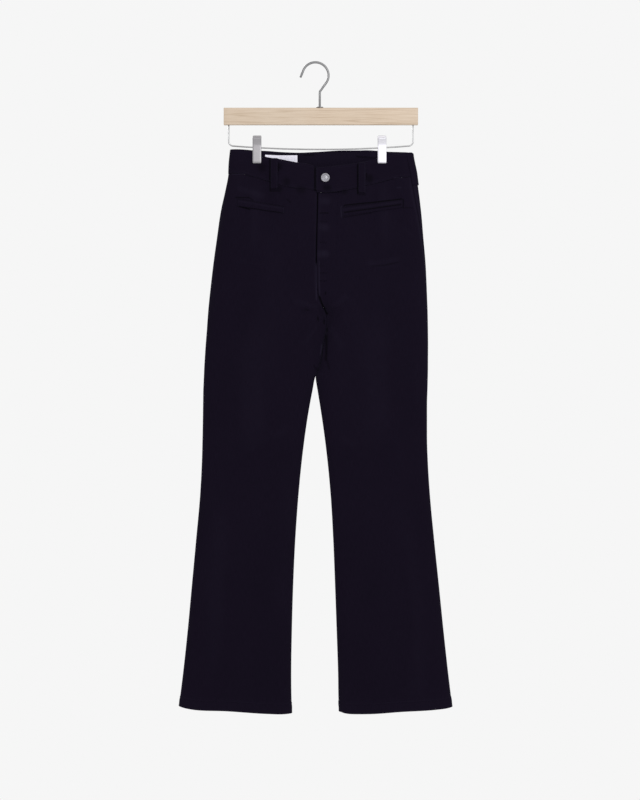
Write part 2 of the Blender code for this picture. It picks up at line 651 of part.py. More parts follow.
def side_loop(name, side, turn, top, bottom, parent):
    """A loop on the side seam, wrapped round the garment's edge."""
    layers = [layer for layer in skins if layer.startswith(("front_", "back_", "waistband"))]
    outer, inner = [], []
    for row in range(LOOP_ROWS + 1):
        down = row / LOOP_ROWS
        depth = top + down * (bottom - top)
        length_per_turn = SEAM_GAP / 2 / half_gap_turn(side, turn, depth)
        outer_row, inner_row = [], []
        for column in range(SIDE_LOOP_COLUMNS + 1):
            here = turn + (column / SIDE_LOOP_COLUMNS - 0.5) * LOOP_WIDTH / length_per_turn
            surface, inside = (Vector(point) for point in wall_points(side, here, depth, 1.0))
            out = (surface - inside).normalized()
            hit = None
            for aside in (0, 2 * SEAM_GAP, -2 * SEAM_GAP):
                hit = hit or touch(surface + out * SIDE_RAY_FROM + Vector((0, 0, aside)), -out, layers)
            surface = Vector((hit.x, hit.y, -depth))
            lift = loop_lift(down) + SIDE_LOOP_ROOM
            inner_row.append(surface + out * lift)
            outer_row.append(surface + out * (lift + LOOP_CLOTH))
        outer.append(outer_row)
        inner.append(inner_row)
    place(name, wall_mesh(name, outer, inner, "denim"), parent)


def welt(name, inner_x, inner, outer_x, outer, parent):
    def corners(across, down):
        x = inner_x + across * (outer_x - inner_x)
        top = inner[0] + across * (outer[0] - inner[0])
        bottom = inner[1] + across * (outer[1] - inner[1])
        return x, top + down * (bottom - top)

    face_strip(name, "front", corners, WELT_CLOTH, lambda down: WELT_LIFT, parent, WELT_ROWS, WELT_COLUMNS)


def shield(name, parent):
    """The strip behind the fly, just inside both front panels and level with the lower of the two."""
    layers = ("front_left", "front_right")

    def surface(x, depth):
        rise = fly_rise(x, depth) if x > outline["inner_right"](depth) - SEAM_GAP else 0.0
        return inside_y("front", x, depth, layers) + rise + SEAM_GAP

    outer, inner = [], []
    for row in range(SHIELD_ROWS + 1):
        depth = SHIELD_TOP + row / SHIELD_ROWS * (SHIELD_BOTTOM - SHIELD_TOP)
        xs = [SHIELD_FROM + i / SHIELD_COLUMNS * (SHIELD_TO - SHIELD_FROM) for i in range(SHIELD_COLUMNS + 1)]
        row_y = [surface(x, depth) for x in xs]
        outer.append([(x, y, -depth) for x, y in zip(xs, row_y)])
        inner.append([(x, y + CLOTH, -depth) for x, y in zip(xs, row_y)])
    place(name, wall_mesh(name, outer, inner, "denim"), parent)


def label(name, parent):
    """Blank woven label on the inside of the back waistband."""
    outer, inner = [], []
    for row in range(LABEL_ROWS + 1):
        depth = LABEL_TOP + row / LABEL_ROWS * (LABEL_BOTTOM - LABEL_TOP)
        outer_row, inner_row = [], []
        for column in range(LABEL_COLUMNS + 1):
            x = LABEL_FROM + column / LABEL_COLUMNS * (LABEL_TO - LABEL_FROM)
            y = inside_y("back", x, depth, ("waistband_back",)) - SEAM_GAP
            outer_row.append((x, y, -depth))
            inner_row.append((x, y - LABEL_THICKNESS, -depth))
        outer.append(outer_row)
        inner.append(inner_row)
    place(name, wall_mesh(name, outer, inner, "label"), parent)


def button(name, parent):
    """A shank button, turned about the axis that faces the viewer."""
    y = min(outside_y("front", BUTTON_X + dx, BUTTON_DEPTH) for dx in (-BUTTON_POST, 0, BUTTON_POST))
    where = (BUTTON_X, y - SEAM_GAP, -BUTTON_DEPTH)
    place(name, turned_mesh(name, BUTTON_PROFILE, "button", 32), parent, where, (math.radians(90), 0, 0))


# ---- Hanger ----
def wooden_bar(name, parent):
    work = bmesh.new()
    bmesh.ops.create_cube(work, size=1)
    bmesh.ops.scale(work, vec=(BAR_LENGTH, BAR_THICKNESS, BAR_HEIGHT), verts=work.verts)
    bmesh.ops.bevel(work, geom=work.edges[:], offset=BAR_EDGE, segments=2, profile=0.5, affect="EDGES")
    mesh = bpy.data.meshes.new(name)
    work.to_mesh(mesh)
    work.free()
    place(name, finished(mesh, "wood"), parent, (BAR_CENTRE_X, 0, -BAR_TOP - BAR_HEIGHT / 2))


def hook_path():
    """Tip, crook, leaning lower leg, bend and shaft, all in the XZ plane."""
    centre_z = -(HOOK_CROOK_RADIUS - HOOK_WIRE / 2)
    crook = arc(0.0, centre_z, HOOK_CROOK_RADIUS, HOOK_ARC_FROM, HOOK_ARC_TO, 26)
    start = math.radians(HOOK_ARC_FROM)
    tip = (
        crook[0][0] - HOOK_TIP_LENGTH * math.sin(start),
        0.0,
        crook[0][2] + HOOK_TIP_LENGTH * math.cos(start),
    )
    end = math.radians(HOOK_ARC_TO)
    leg_x, leg_z = math.sin(end), -math.cos(end)
    corner_z = crook[-1][2] + (HOOK_SHAFT_X - crook[-1][0]) / leg_x * leg_z
    reach = HOOK_BEND_RADIUS * math.tan(math.radians(-HOOK_ARC_TO) / 2)
    bend = arc(HOOK_SHAFT_X + HOOK_BEND_RADIUS, corner_z - reach, HOOK_BEND_RADIUS, 180 + HOOK_ARC_TO, 180, 5)
    foot = (HOOK_SHAFT_X, 0.0, -BAR_TOP + SEAM_GAP)
    return [tip] + crook + bend + [foot]


def frame_wire_path():
    """Down from the bar, round a corner, along below it with a slight sag, and up again."""
    left, right = BAR_CENTRE_X - FRAME_HALF_WIDTH, BAR_CENTRE_X + FRAME_HALF_WIDTH
    top = -BAR_TOP - BAR_HEIGHT - SEAM_GAP
    corner_z = -FRAME_BOTTOM + FRAME_CORNER_RADIUS
    path = [(left, 0.0, top)] + arc(left + FRAME_CORNER_RADIUS, corner_z, FRAME_CORNER_RADIUS, 180, 270, 6)
    inside_left, inside_right = left + FRAME_CORNER_RADIUS, right - FRAME_CORNER_RADIUS
    for i in range(1, 20):
        x = inside_left + (inside_right - inside_left) * i / 20
        path.append((x, 0.0, -wire_depth(x)))
    path += arc(right - FRAME_CORNER_RADIUS, corner_z, FRAME_CORNER_RADIUS, 270, 360, 6)
    return path + [(right, 0.0, top)]


def wire_depth(x):
    share = (x - BAR_CENTRE_X) / (FRAME_HALF_WIDTH - FRAME_CORNER_RADIUS)
    return FRAME_BOTTOM + FRAME_SAG * (1 - share**2)


def cheek_mesh(name, offset_y, steps=18):
    """A round ear across X, with a hole for the wire, its rim shifted towards its plate."""
    points, faces = [], []
    for x in (-CLIP_CHEEK / 2, CLIP_CHEEK / 2):
        for radius, centre_y in ((CLIP_CHEEK_RADIUS, offset_y), (FRAME_WIRE / 2 + CLIP_PLAY, 0.0)):
            for i in range(steps):
                angle = 2 * math.pi * i / steps
                points.append((x, centre_y + radius * math.cos(angle), radius * math.sin(angle)))
    rim, hole, far_rim, far_hole = (range(k * steps, (k + 1) * steps) for k in range(4))
    for one, two in ((rim, hole), (hole, far_hole), (far_hole, far_rim), (far_rim, rim)):
        for i in range(steps):
            following = (i + 1) % steps
            faces.append([one[i], one[following], two[following], two[i]])
    return mesh_of(name, points, faces, "clip")


def clip_plate(name, facing, top, parent, pivot_depth, cheek_x):
    """One stamped plate, with two cheeks round the wire. facing is -1 for the front one and 1 for the back."""
    rows = []
    half = CLIP_WIDTH / 2
    inner_y = PINCH + BAND_PROUD + SEAM_GAP
    corner_steps = [CLIP_CORNER * (1 - math.cos(math.radians(angle))) for angle in (0, 30, 60, 90)]
    depths = [top + step for step in corner_steps]
    depths += [top + (CLIP_BEND - top) * share for share in CLIP_LEVER_ROWS]
    bend_end = CLIP_BEND + CLIP_BEND_LENGTH
    depths += [CLIP_BEND, bend_end, *CLIP_PLATE_ROWS]
    depths += [CLIP_JAW - step for step in reversed(corner_steps)]
    for depth in depths:
        to_end = min(depth - top, CLIP_JAW - depth, CLIP_CORNER)
        narrow = CLIP_CORNER - math.sqrt(CLIP_CORNER**2 - (CLIP_CORNER - to_end) ** 2)
        lean = CLIP_LEAN * max(0.0, (bend_end - depth) / (bend_end - top)) ** CLIP_CURL
        rows.append((half - narrow, inner_y + lean, pivot_depth - depth))
    outer = [[(w * side, facing * (y + CLIP_SHEET), z) for side in (-1, -0.5, 0, 0.5, 1)] for w, y, z in rows]
    inner = [[(w * side, facing * y, z) for side in (-1, -0.5, 0, 0.5, 1)] for w, y, z in rows]
    plate = place(name, wall_mesh(name, outer, inner, "clip"), parent)
    cheek = cheek_mesh(name + "_cheek", facing * CLIP_CHEEK_OFFSET)
    for side in (-1, 1):
        guide = place(name + "_cheek", cheek, parent, (side * cheek_x, 0, 0))
        guide.hide_render = True
        guide.display_type = "WIRE"
        union = plate.modifiers.new("cheek", "BOOLEAN")
        union.operation = "UNION"
        union.object = guide


def clip(name, x, parent):
    pivot = bpy.data.objects.new(name + "_pivot", None)
    bpy.context.scene.collection.objects.link(pivot)
    pivot.parent = parent
    pivot.location = (x, 0, -wire_depth(x))
    outer_cheek = CLIP_WIDTH / 2 - CLIP_CHEEK / 2
    inner_cheek = outer_cheek - CLIP_CHEEK - SEAM_GAP
    clip_plate(name + "_front", -1, CLIP_FRONT_TOP, pivot, wire_depth(x), outer_cheek)
    clip_plate(name + "_back", 1, CLIP_BACK_TOP, pivot, wire_depth(x), inner_cheek)
    hole = FRAME_WIRE / 2 + CLIP_PLAY
    barrel = (
        (hole, -SPRING_LENGTH / 2), (SPRING_RADIUS, -SPRING_LENGTH / 2),
        (SPRING_RADIUS, SPRING_LENGTH / 2), (hole, SPRING_LENGTH / 2),
    )
    spring = turned_mesh(name + "_spring", barrel, "steel", 16)
    place(name + "_spring", spring, pivot, (0, 0, 0), (0, math.radians(90), 0))


# ---- The object ----
for item in list(bpy.data.objects):
    bpy.data.objects.remove(item)

hanger = bpy.data.objects.new("hanger", None)
garment = bpy.data.objects.new("garment", None)
for empty in (hanger, garment):
    bpy.context.scene.collection.objects.link(empty)

wooden_bar("hanger_bar", hanger)
place("hanger_hook", wire_curve("hanger_hook", hook_path(), HOOK_WIRE, "steel"), hanger)
collar_hole = HOOK_WIRE / 2 + SEAM_GAP
collar = (
    (collar_hole, 0), (COLLAR_RADIUS, 0), (COLLAR_RADIUS, COLLAR_HEIGHT * 0.6),
    (COLLAR_RADIUS * 0.88, COLLAR_HEIGHT), (collar_hole, COLLAR_HEIGHT),
)
place(
    "hook_collar", turned_mesh("hook_collar", collar, "steel"), hanger,
    (HOOK_SHAFT_X, 0, -BAR_TOP + SEAM_GAP),
)
place("hanger_wire", wire_curve("hanger_wire", frame_wire_path(), FRAME_WIRE, "steel"), hanger)
for clip_name, clip_x in zip(("clip_left", "clip_right"), CLIP_X):
    clip(clip_name, clip_x, hanger)

for side_name in ("left", "right"):
    for face_name in ("front", "back"):
        leg_panel(f"{face_name}_{side_name}", side_name, face_name, garment)
front_band("waistband_left", "left", UNDERLAP_END, garment)
front_band("waistband_right", "right", OVERLAP_START, garment)
back_band("waistband_back", garment)
shield("fly_shield", garment)
label("waist_label", garment)
button("button", garment)
for side_name, sizes in WELTS.items():
    welt(f"welt_{side_name}", parent=garment, **sizes)
for loop_name, sizes in FLAT_LOOPS.items():
    flat_loop(loop_name, parent=garment, **sizes)
for loop_name, sizes in SIDE_LOOPS.items():
    side_loop(loop_name, parent=garment, **sizes)
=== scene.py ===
"""Dark bootcut jeans clipped by the waistband to a wooden bar hanger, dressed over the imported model.

Metres, +Z up. The origin is the inner top of the hook's crook, +X is the viewer's right, +Y points away
from the viewer. Heights on the garment are given as depths below the origin.
"""

import math

import bmesh
import bpy
import numpy as np
from mathutils import Matrix, Vector
from mathutils.bvhtree import BVHTree


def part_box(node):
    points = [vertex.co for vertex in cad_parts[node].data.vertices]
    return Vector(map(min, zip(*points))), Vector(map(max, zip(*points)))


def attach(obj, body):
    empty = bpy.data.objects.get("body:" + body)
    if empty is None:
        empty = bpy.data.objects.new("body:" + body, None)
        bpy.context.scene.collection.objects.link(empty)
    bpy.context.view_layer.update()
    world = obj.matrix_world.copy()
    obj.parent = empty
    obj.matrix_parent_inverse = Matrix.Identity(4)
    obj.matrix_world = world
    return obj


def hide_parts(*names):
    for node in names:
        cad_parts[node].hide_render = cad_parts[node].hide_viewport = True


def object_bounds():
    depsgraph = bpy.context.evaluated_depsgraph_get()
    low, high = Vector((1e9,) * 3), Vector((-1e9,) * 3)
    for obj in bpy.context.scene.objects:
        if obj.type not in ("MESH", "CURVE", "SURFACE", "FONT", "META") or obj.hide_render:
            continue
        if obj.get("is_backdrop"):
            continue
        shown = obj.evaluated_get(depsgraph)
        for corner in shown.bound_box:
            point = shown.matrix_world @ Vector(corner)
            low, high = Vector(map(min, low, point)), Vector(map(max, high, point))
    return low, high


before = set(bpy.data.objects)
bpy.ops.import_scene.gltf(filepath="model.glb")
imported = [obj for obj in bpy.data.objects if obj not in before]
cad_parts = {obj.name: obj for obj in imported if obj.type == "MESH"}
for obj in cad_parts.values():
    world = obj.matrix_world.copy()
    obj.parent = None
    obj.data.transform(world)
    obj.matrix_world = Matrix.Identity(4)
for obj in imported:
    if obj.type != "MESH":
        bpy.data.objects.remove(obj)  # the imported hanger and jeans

cad_low, cad_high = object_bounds()

# ---- Studio ----
# A pale room with even light from all round and a round pale floor well below the hanging garment. One
# soft lamp stands high in front on the right, and a second one high behind on the left.
PICTURE_HEIGHT = 1.648  # metres of the hanger's plane that fill the picture from top to bottom
CAMERA_X, CAMERA_Z, CAMERA_AWAY = 0.0095, -0.6932, 4.2
SENSOR = 36.0  # millimetres along the picture's long side
BACKGROUND = (0.9216, 0.9216, 0.9216)
LAMP_SIZE = 1.0
FLOOR_DEPTH, FLOOR_RADIUS, FLOOR_CORNERS = 2.0, 1.8, 96

scene = bpy.context.scene
scene.view_settings.view_transform = "Standard"
scene.world = bpy.data.worlds.new("pale_room")
scene.world.use_nodes = True
scene.world.node_tree.nodes["Background"].inputs["Color"].default_value = (*BACKGROUND, 1)
scene.world.node_tree.nodes["Background"].inputs["Strength"].default_value = 1.0

camera = bpy.data.objects.new("camera", bpy.data.cameras.new("camera"))
scene.collection.objects.link(camera)
camera.location = (CAMERA_X, -CAMERA_AWAY, CAMERA_Z)
camera.rotation_euler = (math.radians(90), 0, 0)
camera.data.sensor_width = SENSOR
camera.data.lens = SENSOR * CAMERA_AWAY / PICTURE_HEIGHT
scene.camera = camera


def soft_lamp(name, place, aim, watts):
    """A square soft lamp at place, turned towards aim."""
    light = bpy.data.lights.new(name, "AREA")
    light.shape = "RECTANGLE"
    light.size, light.size_y = LAMP_SIZE, LAMP_SIZE
    light.energy = watts
    lamp = bpy.data.objects.new(name, light)
    scene.collection.objects.link(lamp)
    lamp.location = place
    lamp.rotation_euler = (Vector(aim) - Vector(place)).to_track_quat("-Z", "Y").to_euler()


soft_lamp("key_lamp", (0.95, -2.30, 0.45), (0, 0, -0.45), 30)
soft_lamp("back_lamp", (-1.10, 2.40, 0.60), (0, 0, -0.55), 34)

pale_paint = bpy.data.materials.new("pale_paint")
pale_paint.use_nodes = True
paint = pale_paint.node_tree.nodes["Principled BSDF"]
paint.inputs["Base Color"].default_value = (0.80, 0.80, 0.80, 1)
paint.inputs["Roughness"].default_value = 0.9
floor_turns = [2 * math.pi * i / FLOOR_CORNERS for i in range(FLOOR_CORNERS)]
floor_rim = [(FLOOR_RADIUS * math.cos(a), FLOOR_RADIUS * math.sin(a), -FLOOR_DEPTH) for a in floor_turns]
floor_mesh = bpy.data.meshes.new("floor")
floor_mesh.from_pydata(floor_rim, [], [list(range(FLOOR_CORNERS))])
floor_mesh.materials.append(pale_paint)
floor = bpy.data.objects.new("floor", floor_mesh)
scene.collection.objects.link(floor)
floor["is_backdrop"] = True


# ---- Wooden bar ----
# A planed bar of pale close-grained wood with eased edges, lacquered satin. It is drilled in its top
# edge for the hook and in its lower edge for the wire.
BAR_EASING = 0.0011
WOOD_LIGHT, WOOD_MID = (0.532, 0.438, 0.343), (0.455, 0.362, 0.270)
PLAIN = (1.0, 1.0, 1.0)  # leaves the colour below it as it is
GROWTH_LINES = ((0.0, WOOD_MID), (0.035, WOOD_LIGHT), (0.10, WOOD_LIGHT))
FIBRE_TONES = ((0.30, (0.86, 0.82, 0.78)), (0.55, PLAIN), (0.75, (1.04, 1.04, 1.05)))
BROAD_TONES = ((0.35, (1.0, 0.965, 0.93)), (0.65, PLAIN))
DARKER_EDGE_TONES = ((0.50, PLAIN), (0.58, (0.80, 0.74, 0.68)))


def add_node(tree, kind, inputs=None, **settings):
    """A shader node with its plain settings and the values of its unlinked inputs."""
    node = tree.nodes.new(kind)
    for key, value in settings.items():
        setattr(node, key, value)
    for key, value in (inputs or {}).items():
        node.inputs[key].default_value = value
    return node


def new_material(name, roughness, metallic=0.0, specular=0.5):
    """A Principled material: itself, its tree and its shader, with the values that are the same all over."""
    made = bpy.data.materials.new(name)
    made.use_nodes = True
    shader = made.node_tree.nodes["Principled BSDF"]
    shader.inputs["Roughness"].default_value = roughness
    shader.inputs["Metallic"].default_value = metallic
    shader.inputs["Specular IOR Level"].default_value = specular
    return made, made.node_tree, shader


def colour_ramp(tree, value, stops):
    """The colours that a value takes through (position, colour) stops."""
    ramp = tree.nodes.new("ShaderNodeValToRGB")
    elements = ramp.color_ramp.elements
    while len(elements) < len(stops):
        elements.new(0.5)
    for element, (position, colour) in zip(elements, stops):
        element.position = position
        element.color = (*colour, 1)
    tree.links.new(value, ramp.inputs["Fac"])
    return ramp.outputs["Color"]


def lay_over(tree, below, above, share, blend_type="MIX"):
    """One colour laid over another. above is a colour or a socket, and share is a number or a socket."""
    node = add_node(tree, "ShaderNodeMix", data_type="RGBA", blend_type=blend_type)
    share_input, below_input, above_input = node.inputs[0], node.inputs[6], node.inputs[7]
    tree.links.new(below, below_input)
    if isinstance(above, bpy.types.NodeSocket):
        tree.links.new(above, above_input)
    else:
        above_input.default_value = (*above, 1)
    if isinstance(share, bpy.types.NodeSocket):
        tree.links.new(share, share_input)
    else:
        share_input.default_value = share
    return node.outputs[2]


def stretched_noise(tree, vector, stretch, scale=1.0, detail=4.0, distortion=0.0):
    """Noise on coordinates that are first scaled by stretch."""
    mapping = add_node(tree, "ShaderNodeMapping", {"Scale": stretch})
    tree.links.new(vector, mapping.inputs["Vector"])
    settings = {"Scale": scale, "Detail": detail, "Roughness": 0.55, "Distortion": distortion}
    noise = add_node(tree, "ShaderNodeTexNoise", settings)
    tree.links.new(mapping.outputs["Vector"], noise.inputs["Vector"])
    return noise.outputs["Fac"]


def bump(tree, shader, height, strength, distance):
    """Turns a height into a bump on the shader."""
    node = add_node(tree, "ShaderNodeBump", {"Strength": strength, "Distance": distance})
    tree.links.new(height, node.inputs["Height"])
    tree.links.new(node.outputs["Normal"], shader.inputs["Normal"])


def write_mesh(work, mesh):
    """Puts the worked form into the mesh, with its faces turned outwards."""
    bmesh.ops.recalc_face_normals(work, faces=work.faces)
    work.to_mesh(mesh)
    work.free()
    return mesh


def finish_piece(name, mesh, slot_name, *replaced, material, sharp=35):
    """Links a finished mesh, shades it, ties it to the hanger's body and hides the nodes it stands for."""
    mesh.materials.append(material)
    mesh.shade_smooth()
    mesh.set_sharp_from_angle(angle=math.radians(sharp))
    piece = bpy.data.objects.new(name, mesh)
    scene.collection.objects.link(piece)
    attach(piece, "root")
    if replaced:
        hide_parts(*replaced)
    return piece


def lacquered_wood():
    """Pale wood with growth lines, short fibres, a broad uneven tone and slightly darker sharp edges and
    corners.
    """
    made, tree, shader = new_material("lacquered_wood", 0.48, specular=0.35)
    place = add_node(tree, "ShaderNodeTexCoord").outputs["Object"]
    corners = add_node(tree, "ShaderNodeNewGeometry").outputs["Pointiness"]
    fibre = stretched_noise(tree, place, (3.2, 90.0, 150.0), 7.0, detail=6.0)
    broad = stretched_noise(tree, place, (3.0, 3.0, 3.0), 1.6, detail=1.0)
    rings = stretched_noise(tree, place, (0.85, 14.0, 30.0), 2.3, detail=2.0, distortion=0.25)
    bands = add_node(tree, "ShaderNodeMath", {1: 0.130}, operation="PINGPONG")
    tree.links.new(rings, bands.inputs[0])
    colour = colour_ramp(tree, bands.outputs[0], GROWTH_LINES)
    layers = ((fibre, FIBRE_TONES, 1.0), (broad, BROAD_TONES, 1.0), (corners, DARKER_EDGE_TONES, 0.6))
    for value, tones, share in layers:
        colour = lay_over(tree, colour, colour_ramp(tree, value, tones), share, "MULTIPLY")
    tree.links.new(colour, shader.inputs["Base Color"])
    bump(tree, shader, fibre, 0.12, 0.0004)
    return made


bar_low, bar_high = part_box("hanger_bar")
bar_size, bar_middle = bar_high - bar_low, (bar_high + bar_low) / 2
work = bmesh.new()
bmesh.ops.create_cube(work, size=1)
bmesh.ops.scale(work, vec=bar_size, verts=work.verts)
bmesh.ops.bevel(work, geom=work.edges[:], offset=BAR_EASING, segments=4, profile=0.5, affect="EDGES")
long_edges = [edge for edge in work.edges if edge.calc_length() > bar_size.x / 2]
bmesh.ops.subdivide_edges(work, edges=long_edges, cuts=39, use_grid_fill=True)
bmesh.ops.translate(work, vec=bar_middle, verts=work.verts)
bar_mesh = write_mesh(work, bpy.data.meshes.new("bar"))
finish_piece("bar", bar_mesh, "wood", "hanger_bar", material=lacquered_wood(), sharp=60)


# ---- Hook and collar ----
# One length of round steel wire, satin plated, bent to a crook with a blunt cut end and screwed into the
# bar through a small flat collar.
HOOK_WIRE = 0.0048
CROOK_RADIUS = 0.0270
CROOK_FROM, CROOK_TO = 158.0, -36.0  # degrees from +X, at the free end and where the lower leg starts
TIP_LENGTH = 0.0155
SHAFT_X = 0.0090
BEND_RADIUS = 0.0060
SHAFT_CLEAR = 0.0002
COLLAR_RADIUS, COLLAR_HEIGHT, COLLAR_CLEAR = 0.0076, 0.0019, 0.0003
END_ROUND = 0.35  # how far a wire's cut ends are eased, as a share of its radius


def satin_steel(name, colour, roughness, streak=0.10, edge_shaded=False):
    """Plated wire or sheet: a fine grain, faint darker clouds and, where asked, painted shade on the pressed
    edges.
    """
    made, tree, shader = new_material(name, roughness, metallic=1.0)
    place = add_node(tree, "ShaderNodeTexCoord").outputs["Object"]
    grain = stretched_noise(tree, place, (1.0, 1.0, 1.0), 900.0, detail=2.0)
    clouds = stretched_noise(tree, place, (1.0, 1.0, 1.0), 45.0, detail=3.0)
    tone = colour_ramp(tree, clouds, ((0.35, [c * (1 - streak) for c in colour]), (0.62, colour)))
    if edge_shaded:
        wear_and_painted_light = add_node(tree, "ShaderNodeAttribute", attribute_name="wear_and_painted_light").outputs["Fac"]
        tone = lay_over(tree, tone, [c * 0.50 for c in colour], wear_and_painted_light)
    tree.links.new(tone, shader.inputs["Base Color"])
    span = {"From Min": 0.3, "From Max": 0.7, "To Min": roughness * 0.85, "To Max": roughness * 1.2}
    rough = add_node(tree, "ShaderNodeMapRange", span)
    tree.links.new(grain, rough.inputs["Value"])
    tree.links.new(rough.outputs["Result"], shader.inputs["Roughness"])
    bump(tree, shader, grain, 0.05, 0.0001)
    return made


def arc(centre_x, centre_z, radius, start, end, steps):
    """Points on an arc in the XZ plane, angles in degrees from +X towards +Z."""
    angles = [math.radians(start + (end - start) * i / steps) for i in range(steps + 1)]
    return [Vector((centre_x + radius * math.cos(a), 0, centre_z + radius * math.sin(a))) for a in angles]


def tube_mesh(name, path, radius, sides=20):
    """A round wire along a path of points, with its cut ends slightly eased."""
    before, after = [path[0]] + path[:-1], path[1:] + [path[-1]]
    tangents = [(later - earlier).normalized() for earlier, later in zip(before, after)]
    ease = radius * END_ROUND
    eased = ((0.0, radius - ease), (0.3 * ease, radius - 0.3 * ease), (ease, radius))
    stations = [(path[0] + tangents[0] * step, tangents[0], size) for step, size in eased]
    stations += [(point, tangent, radius) for point, tangent in zip(path[1:-1], tangents[1:-1])]
    stations += [(path[-1] - tangents[-1] * step, tangents[-1], size) for step, size in reversed(eased)]
    aside = tangents[0].orthogonal().normalized()
    work = bmesh.new()
    rings = []
    for middle, tangent, size in stations:
        aside = (aside - tangent * aside.dot(tangent)).normalized()
        other = tangent.cross(aside)
        turns = [2 * math.pi * i / sides for i in range(sides)]
        ring = [middle + (aside * math.cos(a) + other * math.sin(a)) * size for a in turns]
        rings.append([work.verts.new(corner) for corner in ring])
    for one, two in zip(rings, rings[1:]):
        for i in range(sides):
            work.faces.new((one[i], one[(i + 1) % sides], two[(i + 1) % sides], two[i]))
    work.faces.new(rings[0][::-1])
    work.faces.new(rings[-1])
    return write_mesh(work, bpy.data.meshes.new(name))


def turned_mesh(name, profile, steps=48):
    """A (radius, height) profile turned about Z; one that starts and ends on the axis is closed."""
    work = bmesh.new()
    turns = [2 * math.pi * i / steps for i in range(steps)]
    rings = []
    for radius, height in profile:
        around = turns if radius else turns[:1]
        rings.append([work.verts.new((radius * math.cos(a), radius * math.sin(a), height)) for a in around])
    pairs = list(zip(rings, rings[1:]))
    if len(rings[0]) > 1:
        pairs.append((rings[-1], rings[0]))
    for one, two in pairs:
        for i in range(steps):
            lower = [one[i % len(one)], one[(i + 1) % len(one)]]
            upper = [two[(i + 1) % len(two)], two[i % len(two)]]
            work.faces.new(list(dict.fromkeys(lower + upper)))
    return write_mesh(work, bpy.data.meshes.new(name))


# The hook's plating is painted darker than the frame wire's of the same finish, as painted reflection of a
# darker room in front.
hook_steel = satin_steel("hook_steel", (0.24, 0.24, 0.245), 0.44)
crook = arc(0, HOOK_WIRE / 2 - CROOK_RADIUS, CROOK_RADIUS, CROOK_FROM, CROOK_TO, 64)
tip_angle, leg_angle = math.radians(CROOK_FROM), math.radians(CROOK_TO)
tip = crook[0] + Vector((-math.sin(tip_angle), 0, math.cos(tip_angle))) * TIP_LENGTH
corner_z = crook[-1].z - (SHAFT_X - crook[-1].x) / math.tan(leg_angle)
bend_z = corner_z - BEND_RADIUS * math.tan(-leg_angle / 2)
bend = arc(SHAFT_X + BEND_RADIUS, bend_z, BEND_RADIUS, 180 + CROOK_TO, 180, 12)
shaft_foot = Vector((SHAFT_X, 0, bar_high.z + SHAFT_CLEAR))
hook_mesh = tube_mesh("hook", [tip] + crook + bend + [shaft_foot], HOOK_WIRE / 2)
finish_piece("hook", hook_mesh, "steel", "hanger_hook", material=hook_steel)

collar_bore = HOOK_WIRE / 2 + 0.0001
collar_profile = (
    (collar_bore, 0), (COLLAR_RADIUS * 0.97, 0), (COLLAR_RADIUS, 0.0003),
    (COLLAR_RADIUS, COLLAR_HEIGHT * 0.55), (COLLAR_RADIUS * 0.93, COLLAR_HEIGHT * 0.9),
    (COLLAR_RADIUS * 0.6, COLLAR_HEIGHT), (collar_bore, COLLAR_HEIGHT),
)
collar_mesh = turned_mesh("collar", collar_profile)
collar_mesh.transform(Matrix.Translation((SHAFT_X, 0, bar_high.z + COLLAR_CLEAR)))
finish_piece("collar", collar_mesh, "steel", "hook_collar", material=hook_steel)


# ---- Frame wire ----
# Thinner steel wire of the same finish, pushed up into the bar's ends and bent square below it. It sags a
# little between its corners.
FRAME_WIRE, WIRE_CLEAR = 0.0030, 0.0003
FRAME_HALF_WIDTH, FRAME_CORNER_RADIUS = 0.1897, 0.0090
FRAME_BOTTOM, FRAME_SAG = 0.1700, 0.0070


def wire_depth(x):
    """The wire's depth between its corners, deepest below the middle of the bar."""
    share = (x - bar_middle.x) / (FRAME_HALF_WIDTH - FRAME_CORNER_RADIUS)
    return FRAME_BOTTOM + FRAME_SAG * (1 - share**2)


wire_left, wire_right = bar_middle.x - FRAME_HALF_WIDTH, bar_middle.x + FRAME_HALF_WIDTH
inside_left, inside_right = wire_left + FRAME_CORNER_RADIUS, wire_right - FRAME_CORNER_RADIUS
corner_z, wire_end_z = FRAME_CORNER_RADIUS - FRAME_BOTTOM, bar_low.z + WIRE_CLEAR
wire_path = [Vector((wire_left, 0, wire_end_z))]
wire_path += arc(inside_left, corner_z, FRAME_CORNER_RADIUS, 180, 270, 14)
wire_xs = [inside_left + (inside_right - inside_left) * i / 48 for i in range(1, 48)]
wire_path += [Vector((x, 0, -wire_depth(x))) for x in wire_xs]
wire_path += arc(inside_right, corner_z, FRAME_CORNER_RADIUS, 270, 360, 14)
wire_path += [Vector((wire_right, 0, wire_end_z))]
wire_steel = satin_steel("wire_steel", (0.42, 0.42, 0.425), 0.34)
wire_mesh = tube_mesh("wire", wire_path, FRAME_WIRE / 2, sides=16)
finish_piece("wire", wire_mesh, "steel", "hanger_wire", material=wire_steel)


# ---- Clips ----
# Each clip is two plated steel plates with a pressed border, folded ears that ride on the wire, and a
# coiled spring that closes the jaws on the waistband. Both are the same steel: the left one's plating is
# painted darker and the right one's paler, as painted reflection.
CLIPS = (("left", -0.1203, (0.35, 0.34, 0.355)), ("right", 0.1372, (0.70, 0.69, 0.735)))
CLIP_WIDTH, CLIP_SHEET, CLIP_CORNER = 0.0178, 0.0010, 0.0022
CLIP_JAW, CLIP_FRONT_TOP, CLIP_BACK_TOP = 0.2060, 0.1535, 0.1472
CLIP_BEND_END, CLIP_LEAN, CLIP_CURL = 0.1690, 0.0052, 1.3
CLIP_GRIP = 0.0037  # from the middle plane to a plate's inner face
CLIP_BORDER, CLIP_SLOPE, CLIP_PRESS = 0.0013, 0.0007, 0.00035
CLIP_EASING, CLIP_FOOT, CLIP_FOOT_TAPER = 0.0003, 0.0052, 0.0005
